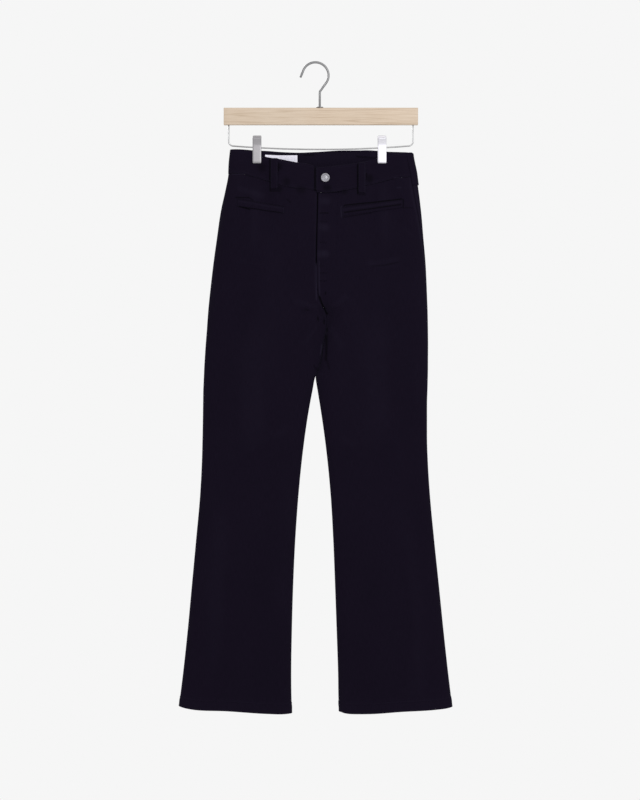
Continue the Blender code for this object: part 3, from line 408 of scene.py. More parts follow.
# A plate's grid is close at its edges, given from the edge inwards, and even between them.
CLIP_EDGE_STEPS = np.array([0, 0.00012, 0.0003, 0.0006, 0.0010, 0.0013, 0.0016, 0.0020, 0.0026])
EAR_RADIUS, EAR_HOLE, EAR_SHEET, EAR_CORNERS = 0.0036, 0.0023, 0.0009, 40
OUTER_EAR = CLIP_WIDTH / 2 - EAR_SHEET / 2
INNER_EAR = OUTER_EAR - EAR_SHEET - 0.0003
PLATES = (("front", -1, CLIP_FRONT_TOP, OUTER_EAR), ("back", 1, CLIP_BACK_TOP, INNER_EAR))
SPRING_WIRE, SPRING_MEAN, SPRING_LENGTH, SPRING_TURNS, TURN_STEPS = 0.0008, 0.0028, 0.0118, 9, 18
SPRING_LEG = ((0.0036, 0.0030), (0.0052, 0.0085))  # from the middle plane, and above the wire


def smooth(share):
    """Eases from 0 to 1."""
    share = np.clip(share, 0.0, 1.0)
    return share * share * (3 - 2 * share)


def near(away, reach):
    """1 on an edge, falling evenly to 0 at its reach."""
    return np.clip(1 - away / reach, 0, 1)


def rounded_edge(away, reach):
    """0 on an edge, rising to 1 at its reach in a quarter circle."""
    return np.sqrt(np.clip(1 - near(away, reach) ** 2, 0, 1))


def pairs_of(x, depth):
    """A grid of (x, depth) from two grids, rows or columns."""
    return np.stack(np.broadcast_arrays(x, depth), axis=-1)


def grid_mesh(name, outer, inner, uv=None, wear_and_light_mask=None, painted_shade_mask=None, inner_wear_and_light_mask=None):
    """A closed sheet between two grids of points, with places on the cloth in metres.

    Its first colour channel marks paler worn places and painted highlight, and on plated steel painted edge
    shade;
    its second marks painted shade and shadow, both from 0 to 1.
    """
    rows, columns = outer.shape[:2]
    layer = rows * columns
    index = np.arange(layer).reshape(rows, columns)
    quads = np.stack([index[:-1, :-1], index[:-1, 1:], index[1:, 1:], index[1:, :-1]], axis=-1)
    quads = quads.reshape(-1, 4)
    border = np.concatenate([index[0, :-1], index[:-1, -1], index[-1, :0:-1], index[:0:-1, 0]])
    following = np.roll(border, -1)
    rim = np.stack([following, border, border + layer, following + layer], axis=-1)
    faces = np.concatenate([quads, quads[:, ::-1] + layer, rim])
    points = np.concatenate([outer.reshape(-1, 3), inner.reshape(-1, 3)])
    mesh = bpy.data.meshes.new(name)
    mesh.from_pydata(points.tolist(), [], faces.tolist())
    work = bmesh.new()
    work.from_mesh(mesh)
    write_mesh(work, mesh)
    if uv is not None:
        corner = np.empty(len(mesh.loops), dtype=np.int32)
        mesh.loops.foreach_get("vertex_index", corner)
        places = np.concatenate([uv.reshape(-1, 2)] * 2)
        mesh.uv_layers.new(name="cloth").data.foreach_set("uv", places[corner].ravel())
    if wear_and_light_mask is not None:
        wear_and_painted_light = np.ones((2 * layer, 4))
        wear_and_painted_light[:, 0] = np.concatenate([wear_and_light_mask.ravel(), (wear_and_light_mask if inner_wear_and_light_mask is None else inner_wear_and_light_mask).ravel()])
        wear_and_painted_light[:, 1] = wear_and_painted_light[:, 0] if painted_shade_mask is None else np.concatenate([painted_shade_mask.ravel()] * 2)
        wear_and_painted_light[:, 2] = wear_and_painted_light[:, 0]
        mesh.color_attributes.new("wear_and_painted_light", "FLOAT_COLOR", "POINT").data.foreach_set("color", wear_and_painted_light.ravel())
    return mesh


def clip_plate_mesh(name, facing, top):
    """A pressed plate: round corners, a flat field raised inside a narrow border, and a leaning lever."""
    field = CLIP_EDGE_STEPS[-1] + 0.0010
    height = CLIP_JAW - top
    down = [CLIP_EDGE_STEPS, np.linspace(field, height - field - 0.0010, 34), height - CLIP_EDGE_STEPS[::-1]]
    across = [CLIP_EDGE_STEPS, np.linspace(field, CLIP_WIDTH - field, 14), CLIP_WIDTH - CLIP_EDGE_STEPS[::-1]]
    depths = top + np.concatenate(down)[:, None]
    shares = np.concatenate(across)[None, :] / (CLIP_WIDTH / 2) - 1
    from_end = np.minimum(depths - top, CLIP_JAW - depths)
    half_width = CLIP_WIDTH / 2 - CLIP_CORNER * (1 - rounded_edge(from_end, CLIP_CORNER))
    x = shares * half_width
    inside = np.minimum(half_width - np.abs(x), from_end)
    pressed = CLIP_PRESS * smooth((inside - CLIP_BORDER) / CLIP_SLOPE)
    easing = CLIP_EASING * (1 - rounded_edge(inside, CLIP_EASING))
    foot = CLIP_FOOT_TAPER * near(CLIP_JAW - depths, CLIP_FOOT) ** 2
    lean = CLIP_LEAN * np.clip((CLIP_BEND_END - depths) / (CLIP_BEND_END - top), 0, 1) ** CLIP_CURL
    back = CLIP_GRIP + lean
    face = back + CLIP_SHEET - 0.0002 + pressed - easing - foot
    outer = np.stack(np.broadcast_arrays(x, facing * face, -depths), axis=-1)
    inner = np.stack(np.broadcast_arrays(x, facing * (back + easing), -depths), axis=-1)
    at_foot = np.clip((depths - CLIP_JAW + CLIP_FOOT) / 0.002, 0, 1)
    # Painted shade darkens the plating along the pressed border and at the plate's foot.
    painted_edge_shade = 0.55 * near(inside - 0.0002, 0.0010) + 0.30 * at_foot
    return grid_mesh(name, outer, inner, wear_and_light_mask=np.clip(painted_edge_shade, 0, 1))


def add_ear(mesh, facing, x, pivot_z):
    """Joins a folded ear to a plate: round under the wire, straight up to the plate, with the wire's hole."""
    rim, hole = [], []
    for i in range(EAR_CORNERS):
        away, up = math.cos(2 * math.pi * i / EAR_CORNERS), math.sin(2 * math.pi * i / EAR_CORNERS)
        reach = EAR_RADIUS
        if away > 0:
            reach = min(EAR_RADIUS / max(1e-6, abs(up)), (CLIP_GRIP + 0.0002) / away)
        rim.append((facing * away * reach, up * reach))
        hole.append((facing * away * EAR_HOLE, up * EAR_HOLE))
    work = bmesh.new()
    work.from_mesh(mesh)
    near_rim, near_hole, far_rim, far_hole = (
        [work.verts.new((x + aside, y, pivot_z + z)) for y, z in ring]
        for aside in (-EAR_SHEET / 2, EAR_SHEET / 2) for ring in (rim, hole)
    )
    around = (near_rim, near_hole, far_hole, far_rim, near_rim)
    for one, two in zip(around, around[1:]):
        for i in range(EAR_CORNERS):
            j = (i + 1) % EAR_CORNERS
            work.faces.new((one[i], one[j], two[j], two[i]))
    write_mesh(work, mesh)


def coil_path(pivot_z):
    """A close coil round the wire whose two ends run up along the insides of the levers."""
    steps = SPRING_TURNS * TURN_STEPS
    path = []
    for i in range(steps + 1):
        a = 2 * math.pi * i / TURN_STEPS
        x = SPRING_LENGTH * (i / steps - 0.5)
        path.append(Vector((x, SPRING_MEAN * math.cos(a), pivot_z + SPRING_MEAN * math.sin(a))))
    front_leg = [Vector((path[0].x, -y, pivot_z + up)) for y, up in reversed(SPRING_LEG)]
    back_leg = [Vector((path[-1].x, y, pivot_z + up)) for y, up in SPRING_LEG]
    return front_leg + path + back_leg


for clip_side, clip_x, clip_colour in CLIPS:
    plating = satin_steel(f"clip_plating_{clip_side}", clip_colour, 0.48, streak=0.05, edge_shaded=True)
    pivot_z = -wire_depth(clip_x)
    to_clip = Matrix.Translation((clip_x, 0, 0))
    for plate_name, facing, top, ear_x in PLATES:
        plate = clip_plate_mesh(f"clip_{clip_side}_{plate_name}", facing, top)
        for ear_side in (-1, 1):
            add_ear(plate, facing, ear_side * ear_x, pivot_z)
        plate.transform(to_clip)
        node_name = f"clip_{clip_side}_{plate_name}"
        finish_piece(f"plate_{clip_side}_{plate_name}", plate, "clip", node_name, material=plating, sharp=50)
    coil = tube_mesh("coil", coil_path(pivot_z), SPRING_WIRE / 2, sides=8)
    coil.transform(to_clip)
    finish_piece(f"coil_{clip_side}", coil, "steel", f"clip_{clip_side}_spring", material=wire_steel)


# ---- Fronts and backs ----
# Two fronts and two backs of dark navy stretch twill, sewn together at the sides, the insides of the legs
# and the centre, and turned up at the hems. They hang from the waistband, pinched flat below the clips.
SEAM_GAP = 0.0003
CROTCH, CLEFT_TOP, CROTCH_ROUND = 0.5050, 0.4150, 0.0560
THIGHS_APART = 0.640  # the inner edges touch from the crotch down to here
HEM_TURN, HEM_STITCH = 0.0220, 0.0190  # the turning's edge and its row of stitches, above the hem's edge
HEM_PROUD, HEM_WALL = 0.0007, 0.0016  # what the turning adds outwards, and to the thickness
PINCH, PINCH_FLAT, PINCH_REACH = 0.0028, 0.0125, 0.0480
PINCH_FULL, PINCH_GONE, SIDE_PINCH = 0.2100, 0.3350, 0.50
FLY_RISE, FLY_WIDTH, FLY_FLAT, FLY_END, FLY_FADE = 0.0013, 0.0400, 0.70, 0.4250, 0.0300
FLY_CURVE, FLY_CURVE_LENGTH = 0.385, 0.036  # where the row of stitches turns in to the centre
TWILL = 0.0011  # thickness of the cloth itself
TWILL_DARK, TWILL_PALE = (0.0038, 0.0022, 0.0069), (0.0060, 0.0037, 0.0101)
# The pale colour serves worn places and painted highlight; the darkest one is painted shade and shadow.
TWILL_WORN_AND_LIT, TWILL_PAINTED_SHADE = (0.016, 0.013, 0.026), (0.0004, 0.0003, 0.0008)
ROLL, ROLL_REACH = 0.00055, 0.0016  # how far cloth turns in at a seam
SEAM_SWELL, SWELL_MIDDLE, SWELL_WIDTH = 0.00030, 0.0042, 0.00375  # the turnings' soft ridge beside a seam
FOLD_STRENGTH, FOLD_TAPER = 1.5, 0.12  # times the heights in the tables, and past a fold's ends

# The silhouette edges and the inner edges of the legs. Above the crotch both inner edges are the centre
# seam.
OUTLINE_COLUMNS = ("depth", "left", "inner_left", "inner_right", "right")
OUTLINE = (
    (0.1750, -0.1750, 0.0025, 0.0025, 0.1985),
    (0.2030, -0.1782, 0.0025, 0.0025, 0.2030),
    (0.2280, -0.1792, 0.0030, 0.0030, 0.2080),
    (0.2610, -0.1854, 0.0058, 0.0058, 0.2124),
    (0.3020, -0.1943, 0.0050, 0.0050, 0.2175),
    (0.3640, -0.2033, 0.0036, 0.0036, 0.2229),
    (0.4250, -0.2114, 0.0028, 0.0028, 0.2276),
    (0.4870, -0.2185, 0.0080, 0.0080, 0.2303),
    (0.5050, -0.2203, 0.0180, 0.0180, 0.2310),
    (0.5300, -0.2222, 0.0232, 0.0232, 0.2316),
    (0.5550, -0.2240, 0.0215, 0.0215, 0.2320),
    (0.5800, -0.2260, 0.0162, 0.0162, 0.2322),
    (0.6110, -0.2280, 0.0115, 0.0115, 0.2320),
    (0.6300, -0.2291, 0.0058, 0.0058, 0.2319),
    (0.6450, -0.2297, 0.0000, 0.0004, 0.2316),
    (0.6725, -0.2309, -0.0056, 0.0042, 0.2309),
    (0.7035, -0.2314, -0.0115, 0.0092, 0.2300),
    (0.7655, -0.2324, -0.0212, 0.0183, 0.2300),
    (0.8270, -0.2341, -0.0287, 0.0256, 0.2320),
    (0.8890, -0.2375, -0.0346, 0.0312, 0.2360),
    (0.9816, -0.2458, -0.0412, 0.0366, 0.2447),
    (1.0743, -0.2544, -0.0455, 0.0403, 0.2544),
    (1.1670, -0.2630, -0.0482, 0.0436, 0.2638),
    (1.2597, -0.2730, -0.0496, 0.0466, 0.2740),
    (1.3100, -0.2793, -0.0490, 0.0474, 0.2801),
    (1.3420, -0.2834, -0.0480, 0.0490, 0.2842),
)
# How far the cloth stands off the garment's middle plane, and how wide its rounded edges are.
FULLNESS_COLUMNS = ("depth", "front", "back", "side_round", "inner_round")
FULLNESS = (
    (0.1750, 0.0120, 0.0125, 0.0230, 0.0300),
    (0.2300, 0.0138, 0.0150, 0.0260, 0.0300),
    (0.3000, 0.0162, 0.0185, 0.0320, 0.0300),
    (0.3900, 0.0180, 0.0215, 0.0370, 0.0340),
    (0.4700, 0.0172, 0.0205, 0.0370, 0.0400),
    (0.5300, 0.0155, 0.0180, 0.0360, 0.0420),
    (0.6400, 0.0136, 0.0152, 0.0330, 0.0330),
    (0.7700, 0.0120, 0.0132, 0.0300, 0.0270),
    (0.9000, 0.0110, 0.0118, 0.0270, 0.0250),
    (1.0700, 0.0118, 0.0128, 0.0280, 0.0260),
    (1.2300, 0.0134, 0.0144, 0.0310, 0.0290),
    (1.3420, 0.0146, 0.0152, 0.0340, 0.0310),
)
# Where the side seams lie on the ring: 0 is the silhouette, up to 1 at the centre front.
SEAM_COLUMNS = ("depth", "left", "right")
SIDE_SEAMS = (
    (0.1750, -0.150, 0.155),
    (0.2600, -0.120, 0.150),
    (0.3600, -0.060, 0.085),
    (0.4700, 0.000, 0.000),
    (1.3420, 0.000, 0.000),
)
CENTRE_BACK = ((0.1750, 0.0125), (0.3000, 0.0115), (0.4250, 0.0100), (0.4870, 0.0125), (0.5050, 0.0180))
# The seam below the waistband and the hem's edge: x and depth.
SEAM_FRONT_LEFT = (
    (-0.2000, 0.2272), (-0.1780, 0.2272), (-0.1570, 0.2276), (-0.1200, 0.2356), (-0.0830, 0.2482),
    (-0.0440, 0.2575), (-0.0210, 0.2592), (0.0050, 0.2630), (0.0400, 0.2640),
)
SEAM_FRONT_RIGHT = (
    (0.0000, 0.2672), (0.0200, 0.2676), (0.0710, 0.2606), (0.1200, 0.2485), (0.1700, 0.2362),
    (0.2070, 0.2338), (0.2200, 0.2338),
)
SEAM_BACK = (
    (-0.2000, 0.2272), (-0.1780, 0.2272), (-0.0900, 0.2305), (0.0125, 0.2325), (0.1200, 0.2330),
    (0.2070, 0.2338), (0.2200, 0.2338),
)
HEM_EDGE = (
    (-0.2840, 1.3225), (-0.2790, 1.3240), (-0.2520, 1.3292), (-0.1820, 1.3325), (-0.1020, 1.3378),
    (-0.0700, 1.3388), (-0.0480, 1.3380), (0.0490, 1.3345), (0.0600, 1.3370), (0.0900, 1.3385),
    (0.1145, 1.3382), (0.1745, 1.3340), (0.2525, 1.3290), (0.2790, 1.3255), (0.2850, 1.3240),
)
# Folds, as ridges or, below zero, as grooves: x and depth of both ends, half width and height.
FOLDS_FRONT = (
    (-0.1200, 0.2560, -0.1290, 0.3900, 0.0110, 0.0008), (-0.1010, 0.2640, -0.0930, 0.3450, 0.0090, -0.0008),
    (-0.1450, 0.2500, -0.1620, 0.3500, 0.0100, -0.0007), (0.1370, 0.2560, 0.1420, 0.3700, 0.0110, 0.0008),
    (0.1180, 0.2580, 0.1080, 0.3400, 0.0090, -0.0008), (0.1600, 0.2500, 0.1750, 0.3300, 0.0090, -0.0006),
    (-0.0593, 0.2441, -0.0740, 0.2594, 0.0080, -0.0009), (0.0218, 0.2579, 0.0589, 0.2653, 0.0070, -0.0007),
    (0.1040, 0.4100, 0.1320, 0.4215, 0.0045, 0.0005), (0.1320, 0.4215, 0.1700, 0.4190, 0.0045, 0.0005),
    (0.1825, 0.3410, 0.1990, 0.3570, 0.0040, 0.0006), (-0.1650, 0.4050, -0.1050, 0.4180, 0.0055, 0.0004),
    (0.0230, 0.5080, 0.0660, 0.4820, 0.0065, 0.0013), (0.0250, 0.5220, 0.0700, 0.5080, 0.0055, -0.0011),
    (0.0100, 0.5060, -0.0450, 0.4900, 0.0065, 0.0012), (0.0080, 0.5200, -0.0400, 0.5120, 0.0055, -0.0010),
    (-0.0183, 0.5030, -0.0130, 0.5120, 0.0022, -0.0008), (0.0064, 0.5230, 0.0060, 0.5310, 0.0024, -0.0010),
    (0.0060, 0.5400, -0.0220, 0.5760, 0.0060, 0.0010), (0.0187, 0.5300, 0.0180, 0.5380, 0.0018, -0.0009),
    (0.0280, 0.5420, 0.0560, 0.5900, 0.0080, 0.0010), (0.0126, 0.5799, 0.0095, 0.6005, 0.0016, 0.0007),
    (0.0225, 0.5593, 0.0200, 0.6108, 0.0034, -0.0011), (0.0225, 0.6100, 0.0290, 0.6330, 0.0030, -0.0007),
    (-0.0010, 0.6210, 0.0035, 0.6335, 0.0022, -0.0007), (-0.1380, 0.5500, -0.1320, 0.7900, 0.0260, 0.0010),
    (0.1350, 0.5400, 0.1300, 0.7800, 0.0260, 0.0010), (-0.1200, 0.8300, -0.1480, 1.2500, 0.0320, -0.0010),
    (0.1180, 0.8300, 0.1500, 1.2500, 0.0320, -0.0010), (-0.1950, 0.9400, -0.2120, 1.2800, 0.0180, 0.0007),
    (0.1970, 0.9300, 0.2130, 1.2800, 0.0180, 0.0007), (-0.0900, 0.7700, -0.0550, 0.7500, 0.0090, 0.0007),
    (0.0850, 0.7900, 0.0500, 0.7700, 0.0090, 0.0007), (-0.2050, 0.7300, -0.1650, 0.7480, 0.0110, -0.0006),
    (0.2050, 0.7500, 0.1700, 0.7650, 0.0110, -0.0006),
)
FOLDS_BACK = (
    (-0.1200, 0.2400, -0.1320, 0.3800, 0.0110, 0.0008), (-0.1000, 0.2440, -0.0900, 0.3500, 0.0090, -0.0008),
    (0.1370, 0.2400, 0.1500, 0.3800, 0.0110, 0.0008), (0.1180, 0.2440, 0.1060, 0.3500, 0.0090, -0.0008),
    (0.0160, 0.4980, 0.0700, 0.4600, 0.0080, 0.0014), (0.0180, 0.5150, 0.0800, 0.4900, 0.0060, -0.0010),
    (0.0120, 0.4980, -0.0480, 0.4620, 0.0080, 0.0014), (0.0080, 0.5160, -0.0560, 0.4920, 0.0060, -0.0010),
    (-0.0100, 0.5600, -0.0700, 0.5380, 0.0070, 0.0012), (0.0400, 0.5650, 0.1000, 0.5400, 0.0070, 0.0012),
    (-0.0200, 0.6000, -0.1100, 0.5850, 0.0090, 0.0009), (0.0420, 0.6050, 0.1250, 0.5900, 0.0090, 0.0009),
    (-0.0500, 0.7750, -0.1200, 0.7600, 0.0080, 0.0008), (-0.0560, 0.7980, -0.1350, 0.7900, 0.0080, -0.0008),
    (0.0520, 0.7800, 0.1250, 0.7650, 0.0080, 0.0008), (0.0560, 0.8030, 0.1380, 0.7950, 0.0080, -0.0008),
    (-0.1380, 0.8300, -0.1560, 1.2500, 0.0320, -0.0010), (0.1350, 0.8300, 0.1580, 1.2500, 0.0320, -0.0010),
    (-0.1330, 0.5600, -0.1300, 0.7600, 0.0280, 0.0009), (0.1330, 0.5500, 0.1300, 0.7600, 0.0280, 0.0009),
)
# Small bumps over hidden buttons and thick turnings in the fly: x, depth, radius and height.
FLY_BUMPS = (
    (0.0204, 0.2853, 0.0062, 0.0008), (0.0177, 0.3389, 0.0062, 0.0008), (0.0157, 0.3924, 0.0060, 0.0009),
    (0.0300, 0.2780, 0.0050, 0.0004),
)

# Painted shadow and shade: dark lines and hollows beside seams, loops, the fly and pocket mouths. Pale lines,
# partly worn seams and stitching and partly painted highlight on lit edges and bulges. Both ends, half width
# and strength.
PAINTED_SHADOW_LINES = (
    (-0.0937, 0.1978, -0.0937, 0.2618, 0.0011, 1.00), (-0.0931, 0.2639, -0.0787, 0.2639, 0.0010, 0.90),
    (-0.0766, 0.2081, -0.0766, 0.2225, 0.0013, 0.80), (0.0865, 0.2101, 0.0865, 0.2699, 0.0011, 1.00),
    (0.0878, 0.2717, 0.1034, 0.2717, 0.0010, 0.60), (0.1053, 0.2276, 0.1053, 0.2400, 0.0013, 0.80),
    (-0.0008, 0.2153, -0.0008, 0.2627, 0.0016, 1.00), (0.0012, 0.2637, 0.0507, 0.2672, 0.0009, 0.50),
    (0.0589, 0.2936, 0.1763, 0.2804, 0.0011, 1.00), (0.1803, 0.2812, 0.1803, 0.2985, 0.0011, 0.80),
    (0.1825, 0.2987, 0.2004, 0.2987, 0.0010, 0.60), (0.0569, 0.3191, 0.1166, 0.3088, 0.0009, 0.50),
    (-0.1642, 0.2771, -0.1368, 0.2771, 0.0011, 0.80), (-0.1368, 0.2771, -0.1285, 0.2826, 0.0010, 0.70),
    (-0.1584, 0.2946, -0.1347, 0.3022, 0.0012, 1.00), (-0.0585, 0.2806, -0.0503, 0.2888, 0.0010, 0.70),
    (0.0095, 0.3096, 0.0260, 0.3096, 0.0010, 1.00), (0.0095, 0.3273, 0.0239, 0.3273, 0.0008, 0.50),
    (0.0095, 0.3700, 0.0218, 0.3700, 0.0008, 0.60), (0.0084, 0.4188, 0.0157, 0.4188, 0.0008, 0.50),
    (0.0095, 0.4326, 0.0239, 0.4326, 0.0009, 0.60), (0.0095, 0.4489, 0.0239, 0.4489, 0.0009, 0.60),
    (0.0084, 0.4800, 0.0146, 0.4975, 0.0015, 1.00), (0.0146, 0.4975, 0.0243, 0.5160, 0.0019, 1.00),
    (0.0208, 0.4717, 0.0208, 0.4759, 0.0013, 0.90), (0.0064, 0.5243, 0.0064, 0.5294, 0.0015, 0.90),
    (-0.0214, 0.5088, -0.0144, 0.5088, 0.0010, 0.70), (0.0187, 0.5284, 0.0187, 0.5366, 0.0012, 0.80),
    (0.0249, 0.5459, 0.0249, 0.5521, 0.0012, 0.80), (0.0218, 0.5614, 0.0208, 0.6108, 0.0026, 0.65),
    (0.0218, 0.6108, 0.0280, 0.6293, 0.0022, 0.40), (-0.0029, 0.6221, 0.0054, 0.6324, 0.0011, 0.60),
    (-0.1100, 0.2132, -0.1100, 0.2153, 0.0090, 0.45), (-0.0740, 0.2122, -0.0740, 0.2153, 0.0060, 0.50),
    (-0.0593, 0.2441, -0.0593, 0.2462, 0.0080, 0.40), (-0.0740, 0.2594, -0.0740, 0.2616, 0.0060, 0.50),
    (0.1119, 0.2359, 0.1119, 0.2400, 0.0070, 0.50), (0.0218, 0.2579, 0.0260, 0.2583, 0.0070, 0.45),
    (0.0589, 0.2653, 0.0610, 0.2653, 0.0060, 0.40), (-0.0317, 0.2606, -0.0276, 0.2616, 0.0080, 0.40),
    (0.1166, 0.4182, 0.1413, 0.4172, 0.0015, 0.35), (0.1413, 0.4172, 0.1702, 0.4101, 0.0015, 0.40),
)
WORN_AND_LIT_LINES = (
    (-0.1718, 0.2285, -0.1477, 0.2285, 0.0010, 0.80), (0.1619, 0.2363, 0.1798, 0.2363, 0.0010, 0.70),
    (0.1681, 0.2565, 0.1763, 0.2565, 0.0010, 0.70), (0.0019, 0.4089, 0.0019, 0.4872, 0.0010, 0.90),
    (0.0078, 0.4089, 0.0087, 0.4810, 0.0009, 0.70), (0.0531, 0.2956, 0.0531, 0.3183, 0.0010, 0.90),
    (0.0126, 0.5799, 0.0099, 0.6005, 0.0011, 0.90), (0.0167, 0.2853, 0.0239, 0.2853, 0.0080, 0.30),
    (0.0136, 0.3389, 0.0218, 0.3389, 0.0080, 0.30), (0.0105, 0.3937, 0.0218, 0.3937, 0.0075, 0.40),
    (-0.0904, 0.1988, -0.0904, 0.2565, 0.0010, 0.35), (-0.0808, 0.1988, -0.0808, 0.2565, 0.0009, 0.30),
    (0.0898, 0.2112, 0.0898, 0.2647, 0.0010, 0.35), (0.1014, 0.2112, 0.1014, 0.2647, 0.0009, 0.30),
    (-0.1553, 0.2585, -0.1100, 0.2730, 0.0060, 0.20), (0.1125, 0.4130, 0.1681, 0.4048, 0.0060, 0.12),
    (0.0025, 0.2173, 0.0025, 0.2606, 0.0011, 0.80),
)
# Painted shadow lines inside the back waistband: both ends, half width and strength.
BACK_BAND_SHADOW_LINES = (
    (-0.0239, 0.1872, -0.0031, 0.1872, 0.0011, 0.80), (0.0853, 0.1902, 0.1238, 0.1947, 0.0011, 0.80),
)


def curve(rows, column=1):
    """A smooth function through one column of a table, over its first column."""
    at = np.array([row[0] for row in rows], float)
    value = np.array([row[column] for row in rows], float)
    step = np.diff(at)
    rise = np.diff(value) / step
    slope = np.gradient(value, at)
    for i in range(1, len(at) - 1):
        if rise[i - 1] * rise[i] <= 0:
            slope[i] = 0.0
        else:
            slope[i] = math.copysign(min(abs(slope[i]), 3 * abs(rise[i - 1]), 3 * abs(rise[i])), slope[i])

    def through(x):
        x = np.clip(x, at[0], at[-1])
        i = np.clip(np.searchsorted(at, x) - 1, 0, len(at) - 2)
        t = (x - at[i]) / step[i]
        low = (2 * t**3 - 3 * t**2 + 1) * value[i] + (t**3 - 2 * t**2 + t) * step[i] * slope[i]
        high = (3 * t**2 - 2 * t**3) * value[i + 1] + (t**3 - t**2) * step[i] * slope[i + 1]
        return low + high

    return through


outline = {name: curve(OUTLINE, i) for i, name in enumerate(OUTLINE_COLUMNS) if i}
fullness = {name: curve(FULLNESS, i) for i, name in enumerate(FULLNESS_COLUMNS) if i}
side_seam = {name: curve(SIDE_SEAMS, i) for i, name in enumerate(SEAM_COLUMNS) if i}
centre_back = curve(CENTRE_BACK)
hem_edge = curve(HEM_EDGE)
seam_front = {"left": curve(SEAM_FRONT_LEFT), "right": curve(SEAM_FRONT_RIGHT)}
seam_back = curve(SEAM_BACK)


def ridge(away, half_width):
    """1 on a line, fading softly to both sides."""
    return np.exp(-((away / half_width) ** 2))


def inner_edge(side, front, depth):
    """x of the centre seam above the crotch, and of the leg's inner edge below it."""
    half_gap = SEAM_GAP / 2 if side == "right" else -SEAM_GAP / 2
    seam_x = np.where(front | (depth >= CROTCH), outline["inner_" + side](depth), centre_back(depth))
    return seam_x + half_gap


def pinch(x, depth):
    """1 where a clip holds the cloth, falling to 0 around and below it."""
    held = np.zeros_like(x)
    for _, clip_x, _ in CLIPS:
        away = smooth((np.abs(x - clip_x) - PINCH_FLAT) / (PINCH_REACH - PINCH_FLAT))
        open_share = np.where(np.abs(x) > abs(clip_x), 1 - SIDE_PINCH, 1.0)
        held = np.maximum(held, 1 - away * open_share)
    return held * (1 - smooth((depth - PINCH_FULL) / (PINCH_GONE - PINCH_FULL)))


def fly_rise(x, depth):
    """The fly's overlap stands proud beside the centre front, on the right."""
    inside = x - outline["inner_right"](depth)
    across = 1 - smooth((inside / FLY_WIDTH - FLY_FLAT) / (1 - FLY_FLAT))
    return FLY_RISE * across * (1 - smooth((depth - FLY_END + FLY_FADE) / FLY_FADE))


def fly_row(depth):
    """x of the fly's row of stitches, which curves in to the centre at its foot."""
    turned_in = smooth((depth - FLY_CURVE) / FLY_CURVE_LENGTH)
    return outline["inner_right"](depth) + FLY_WIDTH * (1 - turned_in) ** 0.6


def ring_x(side, turn, depth, end_x=None):
    """turn runs from 1 at the centre front, through 0 at the silhouette, to -1 at the centre back."""
    front = turn >= 0
    inner_x = inner_edge(side, front, depth)
    if end_x is not None:
        inner_x = np.where(front, end_x, inner_x)
    outer_x = outline[side](depth)
    return outer_x + (inner_x - outer_x) * (1 - np.cos(np.pi * np.abs(turn))) / 2


def cloth_points(side, turn, depth, wall, proud=0.0, end_x=None, lift=0.0):
    """The outer and inner points of the cloth. proud moves both out square to the cloth, lift along y."""
    turn, depth = np.broadcast_arrays(turn, depth)
    front = turn >= 0
    outward = np.where(front, -1.0, 1.0)
    inward_x = 1.0 if side == "left" else -1.0
    x = ring_x(side, turn, depth, end_x)
    side_cos = near(np.abs(x - outline[side](depth)), fullness["side_round"](depth))
    side_sin = np.sqrt(1 - side_cos**2)
    inner_cos = near(np.abs(x - inner_edge(side, front, depth)), fullness["inner_round"](depth))
    inner_sin = (1 - inner_cos**2) ** (1 - 0.5 * smooth((depth - CROTCH) / CROTCH_ROUND))
    drop = np.clip((depth - CLEFT_TOP) / (CROTCH - CLEFT_TOP), 0, 1)
    valley = 1 - np.sqrt(1 - drop**2)
    held = pinch(x, depth)
    full = np.where(front, fullness["front"](depth), fullness["back"](depth))
    half = side_sin * ((1 - held) * full + held * PINCH) * (1 - valley * (1 - inner_sin))
    if side == "right":
        half = half + np.where(front, fly_rise(x, depth), 0.0)
    closed = np.where(depth >= CROTCH, 1.0, 0.0)
    across = side_cos - closed * inner_cos
    through = side_sin * (1 - closed * (1 - inner_sin))
    y = outward * (half + lift + through * proud)
    outer = np.stack([x - inward_x * across * proud, y, -depth], axis=-1)
    inward = np.stack([inward_x * across, -outward * through, 0 * x], axis=-1)
    return outer, outer + np.asarray(wall)[..., None] * inward


def panel_turns(side, face, depth, share):
    """Places round the ring, from the side seam (share 0) to the centre seam or the inseam (share 1)."""
    way = 1.0 if face == "front" else -1.0
    start = side_seam[side](depth)
    return start + (way - start) * share


def to_line(line, x, depth):
    """How far along a line of two (x, depth) ends each place lies, as a share, and how far from it."""
    x0, d0, x1, d1 = line
    run_x, run_d = x1 - x0, d1 - d0
    along = ((x - x0) * run_x + (depth - d0) * run_d) / (run_x**2 + run_d**2)
    share = np.clip(along, 0, 1)
    return along, np.hypot(x - x0 - share * run_x, depth - d0 - share * run_d)


def folds(table, x, depth):
    """The height that a table of folds adds at each place."""
    total = np.zeros_like(x)
    for *line, half_width, height in table:
        along, away = to_line(line, x, depth)
        ends = smooth((along + FOLD_TAPER) / 0.35) * smooth((1 + FOLD_TAPER - along) / 0.35)
        total += height * ridge(away, half_width) * (0.25 + 0.75 * ends)
    return FOLD_STRENGTH * total


def marks(table, x, depth):
    """How strongly a table of narrow lines marks each place, from 0 to 1."""
    strength = np.zeros_like(x)
    for *line, half_width, height in table:
        _, away = to_line(line, x, depth)
        strength = np.maximum(strength, height * np.exp(-((away / half_width) ** 3)))
    return strength


def drape(x, depth, phase):
    """Very soft unevenness all over: long, mostly upright swells, and smaller ones on them."""
    swell = np.sin(41 * x + 3.1 * depth + phase) * np.sin(7.3 * depth + 1.7 * phase)
    swell += 0.6 * np.sin(83 * x - 11 * depth + 2.3 * phase) * np.sin(19 * depth + phase)
    small = np.sin(190 * x + 37 * depth + phase) * np.sin(61 * depth - 90 * x + 3 * phase)
    return 0.00042 * swell + 0.00009 * small


